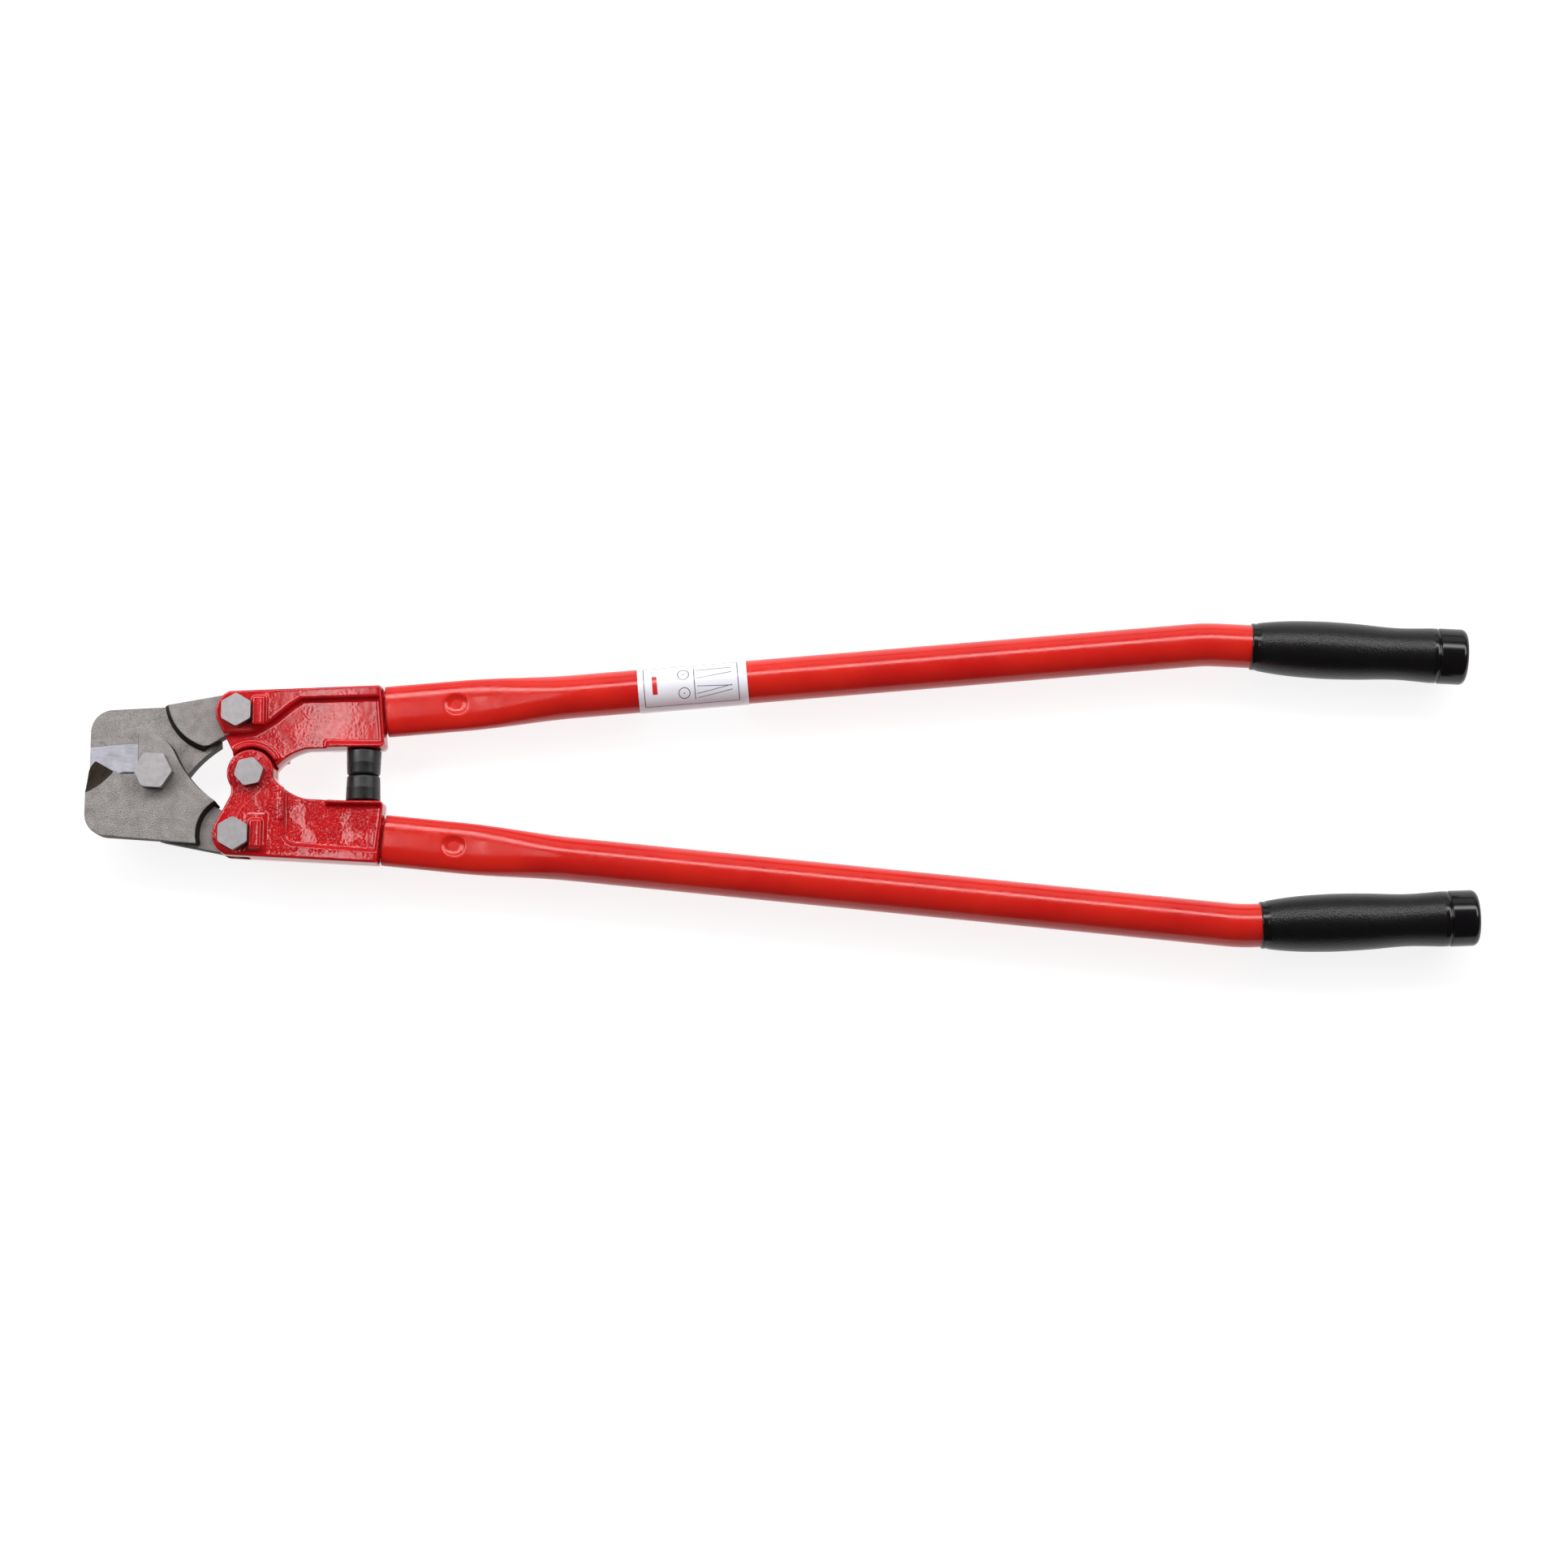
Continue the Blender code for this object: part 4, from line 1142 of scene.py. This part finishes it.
class BOLTCUTTERS_OT_bumpers(Builder):
    """Builds both bumpers, and plates the studs that hold them"""

    bl_idname = "bolt_cutters.bumpers"
    bl_label = "Bumpers"

    def execute(self, context):
        rubber = [bumper_rubber(context.scene.bolt_cutters_tube.rubber)]
        both_sides(bumper, "stop", "bumper", rubber, 50.0)
        plating = zinc_plate(ZINC)
        for side in SIDES:
            stud = frame["nodes"][f"{side}_bumper_stud"]
            stud.data.materials.clear()
            stud.data.materials.append(plating)
        return {"FINISHED"}


class BOLTCUTTERS_OT_fasteners(Builder):
    """Builds the four bolts with their washers and nuts"""

    bl_idname = "bolt_cutters.fasteners"
    bl_label = "Bolts, washers and nuts"

    def execute(self, context):
        plating = zinc_plate(ZINC)
        bodies = {"jaw_pivot": "lower_blade", "upper_link": "upper_handle"}
        for name, (centre, radius, flats, head, nut, turn) in FASTENERS.items():
            body = bodies.get(name, "lower_handle")
            pieces = {
                "bolt": bolt(centre, radius, flats, head, nut, turn),
                "washer": washer_of(centre, radius, flats),
                "nut": nut_of(centre, radius, flats, nut, turn),
            }
            for kind, obj in pieces.items():
                finished(obj, f"plated_{name}_{kind}", body, [f"{name}_{kind}"], [plating])
        return {"FINISHED"}


class BOLTCUTTERS_OT_label(Builder):
    """Builds the label round the upper tube"""

    bl_idname = "bolt_cutters.label"
    bl_label = "Label"

    def execute(self, context):
        tube = context.scene.bolt_cutters_tube
        obj = label_ring(context.scene.bolt_cutters_head, tube)
        finished(obj, "printed_label", "upper_handle", ["tube_label"], [printed_film(tube)], True, 60.0)
        return {"FINISHED"}


def softbox(name, place, aim, size, power):
    """A rectangular area light that faces aim."""
    light = bpy.data.lights.new(name, "AREA")
    light.shape = "RECTANGLE"
    light.size, light.size_y = size
    light.energy = power
    obj = bpy.data.objects.new(name, light)
    obj.location = place
    obj.rotation_euler = (Vector(aim) - Vector(place)).to_track_quat("-Z", "Y").to_euler()
    bpy.context.scene.collection.objects.link(obj)
    return obj


class BOLTCUTTERS_OT_stage(Builder):
    """Sets the pale floor, the soft lights and the camera"""

    bl_idname = "bolt_cutters.stage"
    bl_label = "Stage"

    def execute(self, context):
        settings = context.scene.bolt_cutters_stage
        bm = bmesh.new()
        bmesh.ops.create_grid(bm, x_segments=1, y_segments=1, size=6.0)
        floor = to_object(bm, "floor")
        # A matt sweep, lit from behind: it stays white under the tool's soft shadow
        sweep = Finish("backlit matt sweep", Roughness=0.9, Emission_Color=linear(WHITE), Emission_Strength=0.86)
        sweep.drive("Base Color", sweep.tint(sweep.speckle(300 * MM), SHADES["floor"], settings.floor))
        while len(floor.data.materials) > 1:
            floor.data.materials.pop()
        floor.data.materials[0] = sweep.material
        floor.location.z = -1 * MM

        world = bpy.data.worlds.new("studio")
        world.use_nodes = True
        background = world.node_tree.nodes["Background"]
        background.inputs["Color"].default_value = linear(WHITE)
        background.inputs["Strength"].default_value = 0.05
        context.scene.world = world
        head_end, middle, grips = (JAW + Vector((x, 0, 0)) for x in (0.0, 0.418, 0.618))
        above_head = head_end + Vector((-0.086, 0.2, 0))
        lights = [
            softbox("window", above_head + Vector((0, 0, 1.5)), above_head, (0.07, 0.5), 0.8),
            softbox("left softbox", head_end + Vector((-1.3, 0.5, 1.5)), head_end, (1.0, 1.2), 19.0),
            softbox("right softbox", middle + Vector((2.0, 0.7, 1.6)), grips, (1.2, 1.2), 22.0),
            softbox("strip", middle + Vector((0, 1.22, 1.62)), middle, (3.4, 0.46), 38.0),
            softbox("back panel", middle + Vector((0, 2.1, 0.75)), middle, (3.6, 1.0), 9.0),
        ]

        right, up = Vector((1, 0, 0)), Vector((0, math.cos(settings.tilt), math.sin(settings.tilt)))
        back = Vector((0, -math.sin(settings.tilt), math.cos(settings.tilt)))
        roll = settings.roll
        side = right * math.cos(roll) + up * math.sin(roll)
        above = up * math.cos(roll) - right * math.sin(roll)
        lens = bpy.data.cameras.new("camera")
        lens.sensor_width, lens.lens = 36.0, 81.34
        lens.shift_x, lens.shift_y = -0.00894, -0.00286
        lens.clip_start, lens.clip_end = 0.05, 30.0
        camera = bpy.data.objects.new("camera", lens)
        turn = Matrix((side, above, back)).transposed().to_4x4()
        camera.matrix_world = Matrix.Translation(middle + back * settings.distance) @ turn
        context.scene.collection.objects.link(camera)
        context.scene.camera = camera
        context.scene.view_settings.view_transform = "Standard"
        return {"FINISHED"}


STEPS = (
    BOLTCUTTERS_OT_blades,
    BOLTCUTTERS_OT_heads,
    BOLTCUTTERS_OT_tubes,
    BOLTCUTTERS_OT_grips,
    BOLTCUTTERS_OT_bumpers,
    BOLTCUTTERS_OT_fasteners,
    BOLTCUTTERS_OT_label,
    BOLTCUTTERS_OT_stage,
)
SETTINGS = {"blades": BladeSettings, "head": HeadSettings, "tube": TubeSettings, "stage": StageSettings}


class BOLTCUTTERS_PT_panel(bpy.types.Panel):
    """Sizes, colours and builders of the bolt cutters"""

    bl_idname = "BOLTCUTTERS_PT_panel"
    bl_label = "Bolt cutters"
    bl_space_type = "VIEW_3D"
    bl_region_type = "UI"
    bl_category = "Bolt cutters"

    def draw(self, context):
        for name, kind in SETTINGS.items():
            column = self.layout.column(align=True)
            column.label(text=name.capitalize())
            for key in kind.__annotations__:
                column.prop(getattr(context.scene, f"bolt_cutters_{name}"), key)
        for step in STEPS:
            self.layout.operator(step.bl_idname)


CLASSES = (*SETTINGS.values(), *STEPS, BOLTCUTTERS_PT_panel)


def register():
    for kind in CLASSES:
        bpy.utils.register_class(kind)
    for name, kind in SETTINGS.items():
        setattr(bpy.types.Scene, f"bolt_cutters_{name}", bpy.props.PointerProperty(type=kind))


def unregister():
    for name in SETTINGS:
        delattr(bpy.types.Scene, f"bolt_cutters_{name}")
    for kind in reversed(CLASSES):
        bpy.utils.unregister_class(kind)


def main():
    register()
    for step in STEPS:
        group, name = step.bl_idname.split(".")
        getattr(getattr(bpy.ops, group), name)()
    bpy.context.view_layer.update()


if __name__ == "__main__":
    main()
